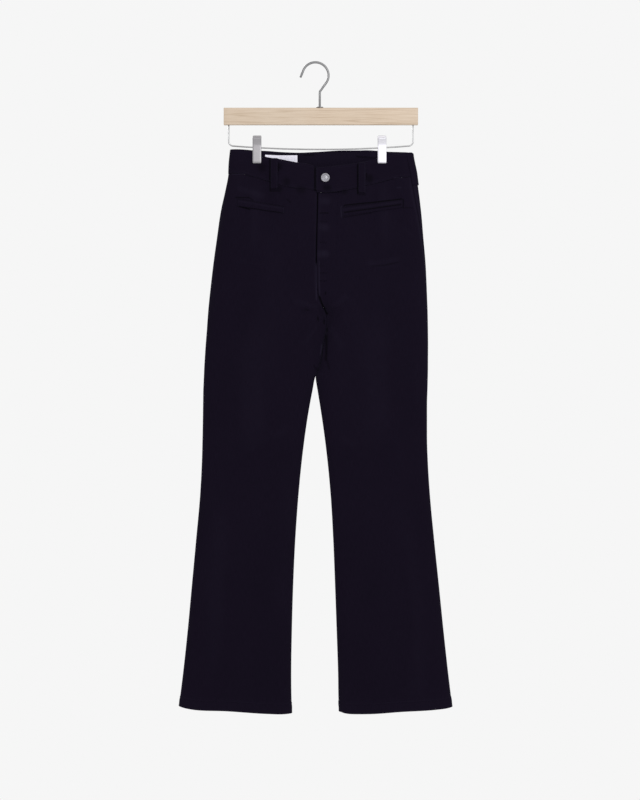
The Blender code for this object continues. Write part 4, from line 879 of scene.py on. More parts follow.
def seam_roll(away):
    """Cloth that turns in at a seam, with the turnings swelling under it a little further off."""
    return SEAM_SWELL * ridge(away - SWELL_MIDDLE, SWELL_WIDTH) - ROLL * near(away, ROLL_REACH) ** 2


def arc_lengths(points):
    """Distance along each row of a grid from its first column."""
    steps = np.linalg.norm(np.diff(points, axis=1), axis=-1)
    return np.concatenate([np.zeros((len(points), 1)), np.cumsum(steps, axis=1)], axis=1)


# Rows of a panel's grid. The first ones follow the waistband's seam and the last ones the hem's edge, given
# by their distance from it. Between them they are level, closest where the small folds are: from, to, count.
TOP_ROWS, LOW_ROWS, PANEL_COLUMNS = 59, 10, {"front": 126, "back": 84}
LEVEL_ROWS = (
    (0.3120, 0.3240, 11), (0.3240, 0.4500, 79), (0.4500, 0.6600, 83), (0.6600, 1.2400, 95),
    (1.2400, 1.2400, 1),
)
HEM_ROWS = np.array([
    0.0232, 0.0226, 0.0222, 0.0218, 0.0212, 0.0200, 0.0185, 0.0165, 0.0140, 0.0110, 0.0080, 0.0055, 0.0035,
    0.0020, 0.0011, 0.0005, 0.0001, 0.0,
])


def panel_depths(side, face, share):
    """Depths of a panel's grid, found by moving its top and low rows to their edges a few times."""
    level = np.concatenate([np.linspace(a, b, count, endpoint=False) for a, b, count in LEVEL_ROWS])
    top_share = np.linspace(0, 1, TOP_ROWS, endpoint=False)[:, None]
    low_share = (np.arange(LOW_ROWS) + 1)[:, None] / (LOW_ROWS + 1)
    depth = np.full((TOP_ROWS + len(level) + LOW_ROWS + len(HEM_ROWS), len(share)), 0.3)
    for _ in range(4):
        turn = panel_turns(side, face, depth, share)
        x = ring_x(side, turn, depth)
        top = np.where(turn >= 0, seam_front[side](x), seam_back(x))[:TOP_ROWS] + SEAM_GAP
        hem = hem_edge(x)[TOP_ROWS + len(level):]
        depth = np.concatenate([
            top + top_share * (level[0] - top),
            np.repeat(level[:, None], len(share), axis=1),
            level[-1] + low_share * (hem[:LOW_ROWS] - HEM_ROWS[0] - level[-1]),
            hem[LOW_ROWS:] - HEM_ROWS[:, None],
        ])
    return depth


def panel_relief(side, face, x, depth, from_side, from_inner, from_hem, from_top):
    """How far the folds, the seams and the needle raise or sink each place of one panel."""
    table = FOLDS_FRONT if face == "front" else FOLDS_BACK
    phase = {"left": 0.4, "right": 2.1}[side] + (0 if face == "front" else 4.0)
    above_hem = smooth(from_hem / 0.03)
    calm = smooth(from_side / 0.02) * smooth(from_inner / 0.02) * above_hem * smooth(from_top / 0.01)
    relief = folds(table, x, depth) * above_hem * smooth(from_top / 0.004)
    relief += drape(x, depth, phase) * calm
    # The insides of the thighs press on each other from the crotch down to the gap between the legs.
    touching = smooth((depth - CROTCH + 0.012) / 0.008) * (1 - smooth((depth - THIGHS_APART) / 0.012))
    relief += seam_roll(from_side) + seam_roll(from_inner) * (1 - touching)
    relief -= ROLL * near(from_top, ROLL_REACH) ** 2
    # The hem's turning stands proud and ropes a little, with its row of stitches and its edge sunk.
    roping = 0.00016 * np.sin(2 * np.pi * (x * 0.8 + from_hem * 0.6) / 0.0115) * smooth(from_hem / 0.003)
    turned_up = smooth((HEM_TURN + 0.0006 - from_hem) / 0.0010)
    relief += turned_up * (HEM_PROUD + roping * smooth((HEM_TURN - from_hem) / 0.004))
    relief -= 0.00028 * ridge(from_hem - HEM_STITCH, 0.0010) + 0.0010 * near(from_hem, 0.0011) ** 2
    if face == "front" and side == "left":
        in_fly = 1 - smooth((depth - FLY_END + 0.012) / 0.010)
        relief -= 0.0016 * in_fly * (1 - smooth(from_inner / 0.0050))
    elif face == "front":
        for bump_x, bump_depth, radius, height in FLY_BUMPS:
            relief += height * ridge(np.hypot(x - bump_x, depth - bump_depth), radius)
        above_foot = 1 - smooth((depth - 0.418) / 0.006)
        relief -= 0.00030 * ridge(x - fly_row(depth), 0.0014) * above_foot
    pressed = touching * ridge(from_inner, 0.004)
    return relief * (1 - pressed) + 0.00035 * pressed


def navy_twill(name, tint=1.0):
    """Dark navy twill: a fine diagonal rib, uneven yarns, a faint bluish nap, paler worn places with painted
    highlight, and painted shade and shadow.
    """
    made, tree, shader = new_material(name, 0.86, specular=0.04)
    shader.inputs["Sheen Weight"].default_value = 0.04
    shader.inputs["Sheen Roughness"].default_value = 0.45
    shader.inputs["Sheen Tint"].default_value = (0.55, 0.55, 0.75, 1)
    place = add_node(tree, "ShaderNodeUVMap", uv_map="cloth").outputs["UV"]
    turned = add_node(tree, "ShaderNodeMapping", {"Rotation": (0, 0, math.radians(62))})
    tree.links.new(place, turned.inputs["Vector"])
    waves = {"Scale": 320.0, "Distortion": 0.8, "Detail": 1.0, "Detail Scale": 2.0}
    rib = add_node(tree, "ShaderNodeTexWave", waves, wave_type="BANDS", bands_direction="X")
    tree.links.new(turned.outputs["Vector"], rib.inputs["Vector"])
    warp = stretched_noise(tree, place, (1900.0, 60.0, 1.0), detail=3.0)
    weft = stretched_noise(tree, place, (70.0, 1700.0, 1.0), detail=2.0)
    cloud = stretched_noise(tree, place, (9.0, 6.0, 1.0))
    dark, pale, worn_and_lit = ([c * tint for c in colour] for colour in (TWILL_DARK, TWILL_PALE, TWILL_WORN_AND_LIT))
    yarn = colour_ramp(tree, warp, ((0.30, dark), (0.72, pale)))
    tone = colour_ramp(tree, cloud, ((0.30, (0.88, 0.88, 0.90)), (0.70, PLAIN)))
    wear_and_painted_light = add_node(tree, "ShaderNodeAttribute", attribute_name="wear_and_painted_light")
    split = add_node(tree, "ShaderNodeSeparateColor")
    tree.links.new(wear_and_painted_light.outputs["Color"], split.inputs["Color"])
    patchy = add_node(tree, "ShaderNodeMath", operation="MULTIPLY")
    tree.links.new(split.outputs["Red"], patchy.inputs[0])
    tree.links.new(weft, patchy.inputs[1])
    colour = lay_over(tree, yarn, tone, 1.0, "MULTIPLY")
    # Paler worn places and painted highlight from the first channel, broken up by the weft.
    colour = lay_over(tree, colour, worn_and_lit, patchy.outputs[0])
    # Painted shade and shadow from the second channel darken it nearly to black.
    colour = lay_over(tree, colour, TWILL_PAINTED_SHADE, split.outputs["Green"])
    tree.links.new(colour, shader.inputs["Base Color"])
    height = add_node(tree, "ShaderNodeMath", {1: 0.45}, operation="MULTIPLY_ADD")
    tree.links.new(warp, height.inputs[0])
    tree.links.new(rib.outputs["Fac"], height.inputs[2])
    bump(tree, shader, height.outputs[0], 0.28, 0.00012)
    return made


twill = navy_twill("navy_twill")
thread = navy_twill("navy_thread", tint=1.2)
skins = {}  # finished cloth, for what is sewn on it


def cloth_piece(name, mesh, flat, area, rests_on, *replaced, material=twill, slot_name="denim"):
    """Finishes a closed sheet of cloth and keeps its surface for what is sewn on it."""
    piece = finish_piece(name, mesh, slot_name, *replaced, material=material, sharp=60)
    corners = [v.co.copy() for v in mesh.vertices]
    skins[name] = BVHTree.FromPolygons(corners, [list(p.vertices) for p in mesh.polygons])


def cloth_surface(face, x, depth, names):
    """The outermost cloth at a place on the front or back, and the way that it faces."""
    way = 1 if face == "back" else -1
    best = None
    for name in names:
        spot, normal, _, _ = skins[name].ray_cast(Vector((x, way * 0.2, -depth)), Vector((0, -way, 0)))
        if spot is not None and (best is None or spot.y * way > best[0].y * way):
            best = (spot, normal if normal.y * way > 0 else -normal)
    return best


STITCH_LENGTH, STITCH_STEP, STITCH_RADIUS, STITCH_SIDES = 0.0025, 0.0032, 0.00026, 6
TACK_STEP = 0.00075
# A stitch's rings: share of its length from its middle, thickness, and height above the cloth in radii.
STITCH_RINGS = (
    (-0.5, 0.35, -0.55), (-0.36, 0.85, 0.05), (0.0, 1.0, 0.42), (0.36, 0.85, 0.05), (0.5, 0.35, -0.55),
)


def add_stitches(name, stitches):
    """A piece of short threads that dive into the cloth at both ends. Each is (from, to, outward)."""
    points, faces = [], []
    turns = [2 * math.pi * i / STITCH_SIDES for i in range(STITCH_SIDES)]
    for start, end, out in stitches:
        along = end - start
        middle, across = (start + end) / 2, along.cross(out).normalized()
        base = len(points)
        for share, size, up in STITCH_RINGS:
            centre, reach = middle + along * share + out * STITCH_RADIUS * up, STITCH_RADIUS * size
            points += [tuple(centre + (across * math.cos(a) + out * math.sin(a)) * reach) for a in turns]
        for ring in range(base, base + (len(STITCH_RINGS) - 1) * STITCH_SIDES, STITCH_SIDES):
            for i in range(STITCH_SIDES):
                a, b = ring + i, ring + (i + 1) % STITCH_SIDES
                faces.append((a, b, b + STITCH_SIDES, a + STITCH_SIDES))
        faces.append(tuple(reversed(range(base, base + STITCH_SIDES))))
        faces.append(tuple(range(len(points) - STITCH_SIDES, len(points))))
    mesh = bpy.data.meshes.new(name)
    mesh.from_pydata(points, [], faces)
    mesh.uv_layers.new(name="cloth")
    finish_piece(name, mesh, "denim", material=thread)


def sew(face, lines, names):
    """Stitches at even steps along lines of (x, depth) points on the finished cloth."""
    stitches = []
    for line in lines:
        line = np.array(line, float)
        lengths = np.concatenate([[0], np.cumsum(np.hypot(*np.diff(line, axis=0).T))])
        for start in np.arange(0, lengths[-1] - STITCH_LENGTH, STITCH_STEP):
            ends = [(np.interp(at, lengths, line[:, 0]), np.interp(at, lengths, line[:, 1]))
                    for at in (start, start + STITCH_LENGTH)]
            one, two = (cloth_surface(face, x, depth, names) for x, depth in ends)
            if one and two and (one[0] - two[0]).length < 2 * STITCH_LENGTH:
                stitches.append((one[0], two[0], (one[1] + two[1]).normalized()))
    return stitches


def bar_tack(face, centre, width, height, names, angle=0.0):
    """A dense bar of short stitches side by side, each as long as the height."""
    stitches = []
    count = max(3, round(width / TACK_STEP))
    for i in range(count):
        aside = (i / (count - 1) - 0.5) * width
        ends = []
        for down in (-height / 2, height / 2):
            x = centre[0] + aside * math.cos(angle) - down * math.sin(angle)
            depth = centre[1] + aside * math.sin(angle) + down * math.cos(angle)
            ends.append(cloth_surface(face, x, depth, names))
        if all(ends):
            stitches.append((ends[0][0], ends[1][0], (ends[0][1] + ends[1][1]).normalized()))
    return stitches


# Pattern sizes: width and length of the flat cut with its turnings, and its area.
PANEL_CUTS = {"front": ((0.290, 1.150), 0.262), "back": ((0.300, 1.160), 0.270)}
panel_names = {"front": [], "back": []}
for side in ("left", "right"):
    for face in ("front", "back"):
        share = np.linspace(0, 1, PANEL_COLUMNS[face])[None, :]
        depth = panel_depths(side, face, share[0])
        turn = panel_turns(side, face, depth, share)
        plain, _ = cloth_points(side, turn, depth, 0.0)
        x, from_side = plain[..., 0], arc_lengths(plain)
        from_inner = from_side[:, -1:] - from_side
        from_hem = hem_edge(x) - depth
        from_top = depth - np.where(turn >= 0, seam_front[side](x), seam_back(x)) - SEAM_GAP
        relief = panel_relief(side, face, x, depth, from_side, from_inner, from_hem, from_top)
        wall = TWILL + HEM_WALL * smooth((HEM_TURN + 0.0006 - from_hem) / 0.0012)
        wall *= 1 - 0.6 * near(from_hem, 0.0011) ** 2
        outer, inner = cloth_points(side, turn, depth, wall, relief)
        # Paler at the hem, beside the seams and on raised folds, with the pale lines adding worn seams and
        # painted highlight.
        wear_and_light_mask = 0.6 * ridge(from_hem, 0.0018) + 0.10 * ridge(from_hem - HEM_TURN, 0.0016)
        wear_and_light_mask += 0.25 * ridge(from_side - 0.0036, 0.0022) + 0.15 * ridge(from_inner - 0.0036, 0.0022)
        wear_and_light_mask += 100 * np.clip(relief, 0, 0.0012)
        # Painted shade along the waistband's seam and the side seam, painted shadow lines on the fronts, and
        # on the left front a painted shadow beside the fly's overlap.
        painted_shade_mask = 0.25 * ridge(from_top, 0.0009) + 0.3 * ridge(from_side, 0.0009)
        if face == "front":
            wear_and_light_mask += marks(WORN_AND_LIT_LINES, x, depth)
            painted_shade_mask = np.maximum(painted_shade_mask, marks(PAINTED_SHADOW_LINES, x, depth))
        if face == "front" and side == "left":
            under_fly = np.exp(-((from_inner / 0.0020) ** 4)) * (depth < 0.412)
            painted_shade_mask = np.maximum(painted_shade_mask, under_fly)
        uv, wear_and_light_mask, painted_shade_mask = pairs_of(from_side, depth), np.clip(wear_and_light_mask, 0, 1), np.clip(painted_shade_mask, 0, 1)
        piece_name = f"{face}_{side}_cloth"
        panel_names[face].append(piece_name)
        mesh = grid_mesh(piece_name, outer, inner, uv, wear_and_light_mask, painted_shade_mask)
        band_node = "waistband_back" if face == "back" else f"waistband_{side}"
        cloth_piece(piece_name, mesh, *PANEL_CUTS[face], [band_node], f"{face}_{side}")

# The hems' rows, the fly's curved row with its short bars, and the centre back seam's two rows.
HEM_ROW_ENDS = ((-0.277, -0.050), (0.049, 0.277))
FLY_BARS, FLY_BAR_X = (0.3106, 0.3273, 0.3700, 0.4326, 0.4489), 0.0175
BAR_SIZE = (0.0016, 0.0140)
sewn = []
for face in ("front", "back"):
    for first, last in HEM_ROW_ENDS:
        row_x = np.linspace(first, last, 60)
        sewn += sew(face, [pairs_of(row_x, hem_edge(row_x) - HEM_STITCH)], panel_names[face])
row_depth = np.linspace(0.270, 0.4190, 60)
sewn += sew("front", [pairs_of(fly_row(row_depth), row_depth)], panel_names["front"])
for bar_depth in FLY_BARS:
    sewn += bar_tack("front", (FLY_BAR_X, bar_depth), *BAR_SIZE, panel_names["front"], math.radians(90))
row_depth = np.linspace(0.240, 0.480, 60)
for aside in (-0.0022, 0.0022):
    sewn += sew("back", [pairs_of(centre_back(row_depth) + aside, row_depth)], panel_names["back"])
add_stitches("stitches_panels", sewn)


# ---- Fly shield ----
# A strip of the same twill behind the fly's opening, sewn to the left front. It shows in the slit beside the
# overlap's edge.
SHIELD_FROM, SHIELD_TO, SHIELD_TOP, SHIELD_BOTTOM = -0.0100, 0.0380, 0.2720, 0.4130
SHIELD_BEHIND = 0.0031  # from the fly's outer surface

x = np.linspace(SHIELD_FROM, SHIELD_TO, 24)[None, :]
depth = np.linspace(SHIELD_TOP, SHIELD_BOTTOM, 60)[:, None]
surfaces = {}
for side in ("left", "right"):
    share = (x - outline[side](depth)) / (outline["inner_" + side](depth) - outline[side](depth))
    turn = np.arccos(1 - 2 * np.clip(share, 0, 1)) / np.pi
    surfaces[side] = cloth_points(side, turn, depth, 0.0)[0][..., 1]
on_right = x > outline["inner_right"](depth)
y = SHIELD_BEHIND + np.where(on_right, surfaces["right"] + fly_rise(x, depth), surfaces["left"])
outer = np.stack(np.broadcast_arrays(x, y, -depth), axis=-1)
shield_mesh = grid_mesh("fly_strip", outer, outer + [0, TWILL, 0], pairs_of(x, depth), np.zeros_like(y))
cloth_piece("fly_strip", shield_mesh, (0.048, 0.141), 0.0067, ["front_left_cloth"], "fly_shield")


# ---- Waistband ----
# Three lengths of doubled twill with a stiffening inside, stitched close along both edges. The right front
# one laps over the left one and carries the button. The clips squeeze it flat against the back one.
BAND, BAND_PROUD = 0.0026, 0.0006
BAND_MIDDLE, BAND_STITCH, BAND_COLUMNS, BAND_ROWS = 0.1950, 0.0024, 200, 34
BAND_FOLD, BAND_FOLD_REACH = 0.0012, 0.0013  # how far the folded edges turn in
UNDERLAP_END, OVERLAP_START = 0.0300, 0.0028
OVERLAP_RISE, OVERLAP_FLAT, OVERLAP_GONE = 0.0034, 0.0360, 0.0720
# The band's upper edge: x and depth.
TOP_FRONT_LEFT = (
    (-0.1900, 0.1772), (-0.1740, 0.1772), (-0.1306, 0.1790), (-0.1073, 0.1906), (-0.0694, 0.1988),
    (-0.0352, 0.2056), (-0.0120, 0.2092), (-0.0045, 0.2122), (-0.0015, 0.2160), (0.0400, 0.2180),
)
TOP_FRONT_RIGHT = (
    (0.0000, 0.2172), (0.0040, 0.2153), (0.0198, 0.2150), (0.0507, 0.2112), (0.0939, 0.2045),
    (0.1259, 0.1967), (0.1454, 0.1906), (0.1720, 0.1868), (0.1990, 0.1835), (0.2200, 0.1835),
)
TOP_BACK = (
    (-0.1900, 0.1772), (-0.1740, 0.1772), (-0.1306, 0.1790), (-0.0900, 0.1800), (-0.0358, 0.1822),
    (-0.0030, 0.1810), (0.0610, 0.1776), (0.1000, 0.1776), (0.1248, 0.1794), (0.1496, 0.1815),
    (0.1866, 0.1820), (0.1990, 0.1835), (0.2200, 0.1835),
)
# Dents and swells in the band: x, depth, radius across, radius down and height.
BAND_DENTS = (
    (-0.1100, 0.2132, 0.0060, 0.0120, -0.0009), (-0.0740, 0.2122, 0.0070, 0.0140, -0.0008),
    (-0.0593, 0.2441, 0.0090, 0.0080, -0.0008), (0.1119, 0.2359, 0.0070, 0.0110, -0.0008),
    (0.0589, 0.2450, 0.0100, 0.0090, 0.0006), (-0.0300, 0.2300, 0.0160, 0.0120, 0.0007),
    (0.1600, 0.2150, 0.0130, 0.0160, 0.0006), (-0.1500, 0.2050, 0.0100, 0.0160, 0.0005),
)

top_front = {"left": curve(TOP_FRONT_LEFT), "right": curve(TOP_FRONT_RIGHT)}
top_back = curve(TOP_BACK)


def band_grid(side, face, end_x=None):
    """A band's grid from its upper edge down and round from the side seam: points, uv, paler worn places with
    painted highlight, and painted shade.
    """
    way = 1.0 if face == "front" else -1.0
    share = np.linspace(0, 1, BAND_COLUMNS)[None, :]
    even = np.linspace(0, 1, BAND_ROWS)[:, None]
    down = 0.55 * (0.5 - 0.5 * np.cos(np.pi * even)) + 0.45 * even
    start = side_seam[side](BAND_MIDDLE)
    depth = np.full((BAND_ROWS, BAND_COLUMNS), BAND_MIDDLE)
    turn = start + (way - start) * share + 0 * depth
    front = turn >= 0
    for _ in range(4):
        x = ring_x(side, turn, depth, end_x)
        top = np.where(front, top_front[side](x), top_back(x))
        low = np.where(front, seam_front[side](x), seam_back(x))
        depth = top + down * (low - top)
    plain, _ = cloth_points(side, turn, depth, 0.0, end_x=end_x)
    x, from_side = plain[..., 0], arc_lengths(plain)
    from_top, from_low, from_end = depth - top, low - depth, from_side[:, -1:] - from_side
    from_edge = np.minimum(from_top, from_low)
    relief = np.zeros_like(x)
    for dent_x, dent_depth, across, tall, height in BAND_DENTS:
        relief += height * ridge(x - dent_x, across) * ridge(depth - dent_depth, tall)
    if face == "back":
        relief *= 0.6
    relief += 0.00022 * np.sin(150 * x + 30 * depth) * np.sin(95 * depth + 2)
    # The rows of stitches sink in and pucker the cloth, and every edge turns in.
    relief -= 0.00026 * ridge(from_edge - BAND_STITCH, 0.0009)
    relief += 0.00012 * np.sin(2 * np.pi * from_side / 0.0064) * ridge(from_edge - BAND_STITCH, 0.0020)
    turned_in = BAND_FOLD * (1 - rounded_edge(from_top, BAND_FOLD_REACH))
    relief -= turned_in + 0.0005 * near(from_low, 0.0012) ** 2 + 0.0005 * near(from_side, 0.0014) ** 2
    wall = BAND - 2 * turned_in
    if end_x is not None:
        relief -= BAND_FOLD * (1 - rounded_edge(from_end, BAND_FOLD_REACH))
        wall -= BAND_FOLD * near(from_end, BAND_FOLD_REACH) ** 2
    lift = 0.0
    if side == "right" and face == "front":
        rise = OVERLAP_RISE * (1 - smooth((x - OVERLAP_FLAT) / (OVERLAP_GONE - OVERLAP_FLAT)))
        lift = np.where(front, rise - fly_rise(x, depth), 0.0)
    outer, inner = cloth_points(side, turn, depth, wall, BAND_PROUD + relief, end_x, lift)
    # Paler along the stitched edges and the lower edge, and painted shade along the lower seam and the side
    # seam.
    wear_and_light_mask = 0.12 * ridge(from_edge - 0.0042, 0.0012) + 0.2 * ridge(from_low, 0.0014)
    painted_shade_mask = 0.2 * ridge(from_low, 0.0007) + 0.3 * ridge(from_side, 0.0009)
    if face == "front":
        wear_and_light_mask += marks(WORN_AND_LIT_LINES, x, depth) + 0.15 * ridge(from_top, 0.0015)
        shadowed = marks(PAINTED_SHADOW_LINES, x, depth)
        if side == "right":
            shadowed = shadowed * smooth((from_end - 0.0006) / 0.0006)
        painted_shade_mask = np.maximum(painted_shade_mask, shadowed)
    else:
        # The back band's top edge gets a strong painted highlight, and painted shadow lines lie inside it.
        wear_and_light_mask += 0.9 * ridge(from_top, 0.0018)
        painted_shade_mask = np.maximum(painted_shade_mask, marks(BACK_BAND_SHADOW_LINES, x, depth))
    return outer, inner, pairs_of(from_side, depth), np.clip(wear_and_light_mask, 0, 1), np.clip(painted_shade_mask, 0, 1)


for side, end_x in (("left", UNDERLAP_END), ("right", OVERLAP_START)):
    outer, inner, uv, wear_and_light_mask, painted_shade_mask = band_grid(side, "front", end_x)
    mesh = grid_mesh(f"band_{side}", outer, inner, uv[..., ::-1], wear_and_light_mask, painted_shade_mask)
    rests = [f"clip_{side}_front", f"clip_{side}_back"]
    cloth_piece(f"band_{side}", mesh, (0.225, 0.054), None, rests, f"waistband_{side}")

halves = [band_grid(side, "back") for side in ("left", "right")]
outer, inner, uv, wear_and_light_mask, painted_shade_mask = (np.concatenate([a[:, :-1], b[:, ::-1]], axis=1) for a, b in zip(*halves))
uv = pairs_of(uv[..., 1], arc_lengths(outer))
# Its inner face gets painted light that lifts the shade inside the waistband.
mesh = grid_mesh("band_back", outer, inner, uv, wear_and_light_mask, painted_shade_mask, inner_wear_and_light_mask=np.maximum(wear_and_light_mask, 0.25))
rests = [f"clip_{side}_{face}" for side in ("left", "right") for face in ("front", "back")]
cloth_piece("band_back", mesh, (0.410, 0.057), None, rests, "waistband_back")

# The two rows of stitches along each band: its edges, and where the rows start and end.
BAND_SEWING = (
    ("front", "band_left", top_front["left"], seam_front["left"], -0.171, 0.0010),
    ("front", "band_right", top_front["right"], seam_front["right"], 0.0052, 0.194),
    ("back", "band_back", top_back, seam_back, -0.169, 0.192),
)
sewn = []
for face, band_name, top, low, first, last in BAND_SEWING:
    row_x = np.linspace(first, last, 80)
    rows = [pairs_of(row_x, top(row_x) + BAND_STITCH), pairs_of(row_x, low(row_x) - BAND_STITCH)]
    sewn += sew(face, rows, [band_name])
add_stitches("stitches_band", sewn)


# ---- Label ----
# A blank woven satin label with folded ends, tacked inside the back waistband.
LABEL_FROM, LABEL_TO, LABEL_TOP, LABEL_BOTTOM = -0.1035, -0.0373, 0.1880, 0.2140
LABEL_CLOTH, LABEL_FOLD, LABEL_FOLD_WIDTH, LABEL_SAG = 0.00045, 0.00030, 0.0065, 0.0003
LABEL_CLEAR = 0.0003  # from the waistband's inner surface


def inside_cloth(x, depth, name):
    """y of the back cloth's inner surface, met from the middle of the garment."""
    spot, _, _, _ = skins[name].ray_cast(Vector((x, 0.0, -depth)), Vector((0, 1, 0)))
    return spot.y


def woven_satin():
    """Pale woven satin with fine yarns across the label."""
    made, tree, shader = new_material("woven_satin", 0.42, specular=0.35)
    shader.inputs["Sheen Weight"].default_value = 0.25
    place = add_node(tree, "ShaderNodeUVMap", uv_map="cloth").outputs["UV"]
    yarn = stretched_noise(tree, place, (2600.0, 300.0, 1.0), detail=2.0)
    tones = colour_ramp(tree, yarn, ((0.3, (0.68, 0.66, 0.76)), (0.7, (0.80, 0.78, 0.87))))
    tree.links.new(tones, shader.inputs["Base Color"])
    bump(tree, shader, yarn, 0.2, 0.0001)
    return made


label_x = np.linspace(LABEL_FROM, LABEL_TO, 60)
label_depth = np.linspace(LABEL_TOP, LABEL_BOTTOM, 24)
behind = [[(x, inside_cloth(x, d, "band_back") - LABEL_CLEAR, -d) for x in label_x] for d in label_depth]
label_back = np.array(behind)
from_end = np.minimum(label_x - LABEL_FROM, LABEL_TO - label_x)[None, :]
from_edge = np.minimum(label_depth - LABEL_TOP, LABEL_BOTTOM - label_depth)[:, None]
thick = LABEL_CLOTH + LABEL_FOLD * smooth((LABEL_FOLD_WIDTH - from_end) / 0.0008)
thick = thick - 0.0003 * near(np.minimum(from_end, from_edge), 0.0006)
sag = LABEL_SAG * np.sin(np.pi * (label_x - LABEL_FROM) / (LABEL_TO - LABEL_FROM)) * smooth(from_edge / 0.01)
label_front = label_back - (thick + sag)[..., None] * [0, 1, 0]
label_uv = pairs_of(label_x[None, :], label_depth[:, None])
label_mesh = grid_mesh("blank_label", label_front, label_back, label_uv)
cloth_piece(
    "blank_label", label_mesh, (0.066, 0.026), None, ["band_back"], "waist_label",
    material=woven_satin(), slot_name="label",
)


# ---- Pocket welts ----
# Two narrow slanted welts, each a folded strip of twill sewn down over the pocket's mouth, with its short
# ends tacked.
WELTS = {
    "left": {"inner_x": -0.0640, "inner": (0.2966, 0.3104), "outer_x": -0.1600, "outer": (0.2795, 0.2958)},
    "right": {"inner_x": 0.0552, "inner": (0.2972, 0.3164), "outer_x": 0.1790, "outer": (0.2808, 0.2978)},
}
WELT_CLOTH, WELT_LIFT, WELT_STITCH, WELT_TACK, WELT_TACK_IN = 0.0015, 0.0002, 0.0022, 0.0016, 0.0014
WELT_MOUTH = {"left": 1.0, "right": 0.62}  # where the pocket's mouth gets painted shade, down the welt
WELT_ROWS, WELT_COLUMNS = 20, 100
PANELS_AND_BANDS = {
    "front": ["front_left_cloth", "front_right_cloth", "band_left", "band_right"],
    "back": ["back_left_cloth", "back_right_cloth", "band_back"],
}
AROUND = ((0, 0), (0.0012, 0), (-0.0012, 0), (0, 0.0020), (0, -0.0020))  # a laid strip clears the cloth here


def laid_strip(face, places, thickness, lift):
    """Outer and inner points of a strip that lies on the cloth. places, thickness and lift are grids."""
    way = 1 if face == "back" else -1
    ground = np.zeros(places.shape[:2])
    for spot in np.ndindex(*ground.shape):
        x, depth = places[spot]
        hits = [cloth_surface(face, x + dx, depth + dz, PANELS_AND_BANDS[face]) for dx, dz in AROUND]
        ground[spot] = max(hit[0].y * way for hit in hits if hit is not None)
    low = ground + lift
    inner = np.stack([places[..., 0], way * low, -places[..., 1]], axis=-1)
    outer = np.stack([places[..., 0], way * (low + thickness), -places[..., 1]], axis=-1)
    return outer, inner


for side, sizes in WELTS.items():
    across = np.linspace(0, 1, WELT_COLUMNS)[None, :]
    down = (0.5 - 0.5 * np.cos(np.pi * np.linspace(0, 1, WELT_ROWS)))[:, None]
    x = sizes["inner_x"] + across * (sizes["outer_x"] - sizes["inner_x"])
    top, low = (sizes["inner"][i] + across * (sizes["outer"][i] - sizes["inner"][i]) for i in (0, 1))
    depth = top + down * (low - top)
    places = pairs_of(x, depth)
    length = abs(sizes["outer_x"] - sizes["inner_x"])
    from_end = np.minimum(across, 1 - across) * length
    from_edge = np.minimum(down * (low - top), (1 - down) * (low - top))
    thickness = WELT_CLOTH * (0.25 + 0.75 * rounded_edge(np.minimum(from_end, from_edge), 0.0012))
    thickness -= 0.00025 * ridge(from_edge - WELT_STITCH, 0.0008)
    thickness += 0.00012 * np.sin(x * 700 + 3)
    outer, inner = laid_strip("front", places, thickness, WELT_LIFT)
    # Painted shade in the pocket's mouth and along the welt's top edge.
    mouth = 0.95 * ridge((down - WELT_MOUTH[side]) * (low - top), 0.0012)
    mouth = mouth * smooth((0.985 - across) / 0.01) * smooth((across - 0.02) / 0.02)
    painted_shade_mask = np.maximum(mouth, 0.8 * ridge(down * (low - top), 0.0008))
    wear_and_light_mask = 0.8 * ridge(across * length, 0.0012) + 0.25 * ridge(down - 0.30, 0.10)
    wear_and_light_mask, painted_shade_mask = np.clip(wear_and_light_mask, 0, 1), np.clip(painted_shade_mask, 0, 1)
    welt_name = f"welt_{side}_cloth"
    mesh = grid_mesh(welt_name, outer, inner, places, wear_and_light_mask, painted_shade_mask)
    size = (length, sizes["inner"][1] - sizes["inner"][0])
    cloth_piece(welt_name, mesh, size, None, [f"front_{side}_cloth"], f"welt_{side}")
    row_x = np.linspace(sizes["inner_x"], sizes["outer_x"], 40)[1:-1]
    row_top, row_low = (np.linspace(sizes["inner"][i], sizes["outer"][i], 40)[1:-1] for i in (0, 1))
    rows = [pairs_of(row_x, row_top + WELT_STITCH), pairs_of(row_x, row_low - WELT_STITCH)]
    sewn = sew("front", rows, [welt_name])
    for end in ("inner", "outer"):
        end_x, (end_top, end_low) = sizes[end + "_x"], sizes[end]
        inward = math.copysign(WELT_TACK_IN, (sizes["inner_x"] + sizes["outer_x"]) / 2 - end_x)
        tack_centre = (end_x + inward, (end_top + end_low) / 2)
        sewn += bar_tack("front", tack_centre, WELT_TACK, (end_low - end_top) * 0.8, [welt_name])
    add_stitches(f"stitches_welt_{side}", sewn)


# ---- Belt loops ----
# Five loops of folded twill with two rows of stitches, bar-tacked at the top edge of the waistband and
# below its seam, and bowed a little between. The side ones are pressed flatter by the pinched cloth.
FLAT_LOOPS = (
    ("loop_front_left", "front", "band_left", -0.0851, 0.1962, 0.2602),
    ("loop_front_right", "front", "band_right", 0.0954, 0.2052, 0.2686),
    ("loop_back", "back", "band_back", 0.0125, 0.1828, 0.2450),
)
SIDE_LOOPS = (
    ("loop_side_left", "left", -0.125, 0.1785, 0.2420), ("loop_side_right", "right", 0.085, 0.1850, 0.2512),
)
LOOP_WIDTH, LOOP_CLOTH, LOOP_LIFT, LOOP_BOW, LOOP_TACK = 0.0150, 0.0019, 0.0002, 0.0015, 0.16
LOOP_LENGTH = 0.064  # of a usual one, for its worn and rounded ends
LOOP_ROWS, LOOP_COLUMNS, LOOP_STITCH, LOOP_END = 56, 22, 0.0047, 0.0040
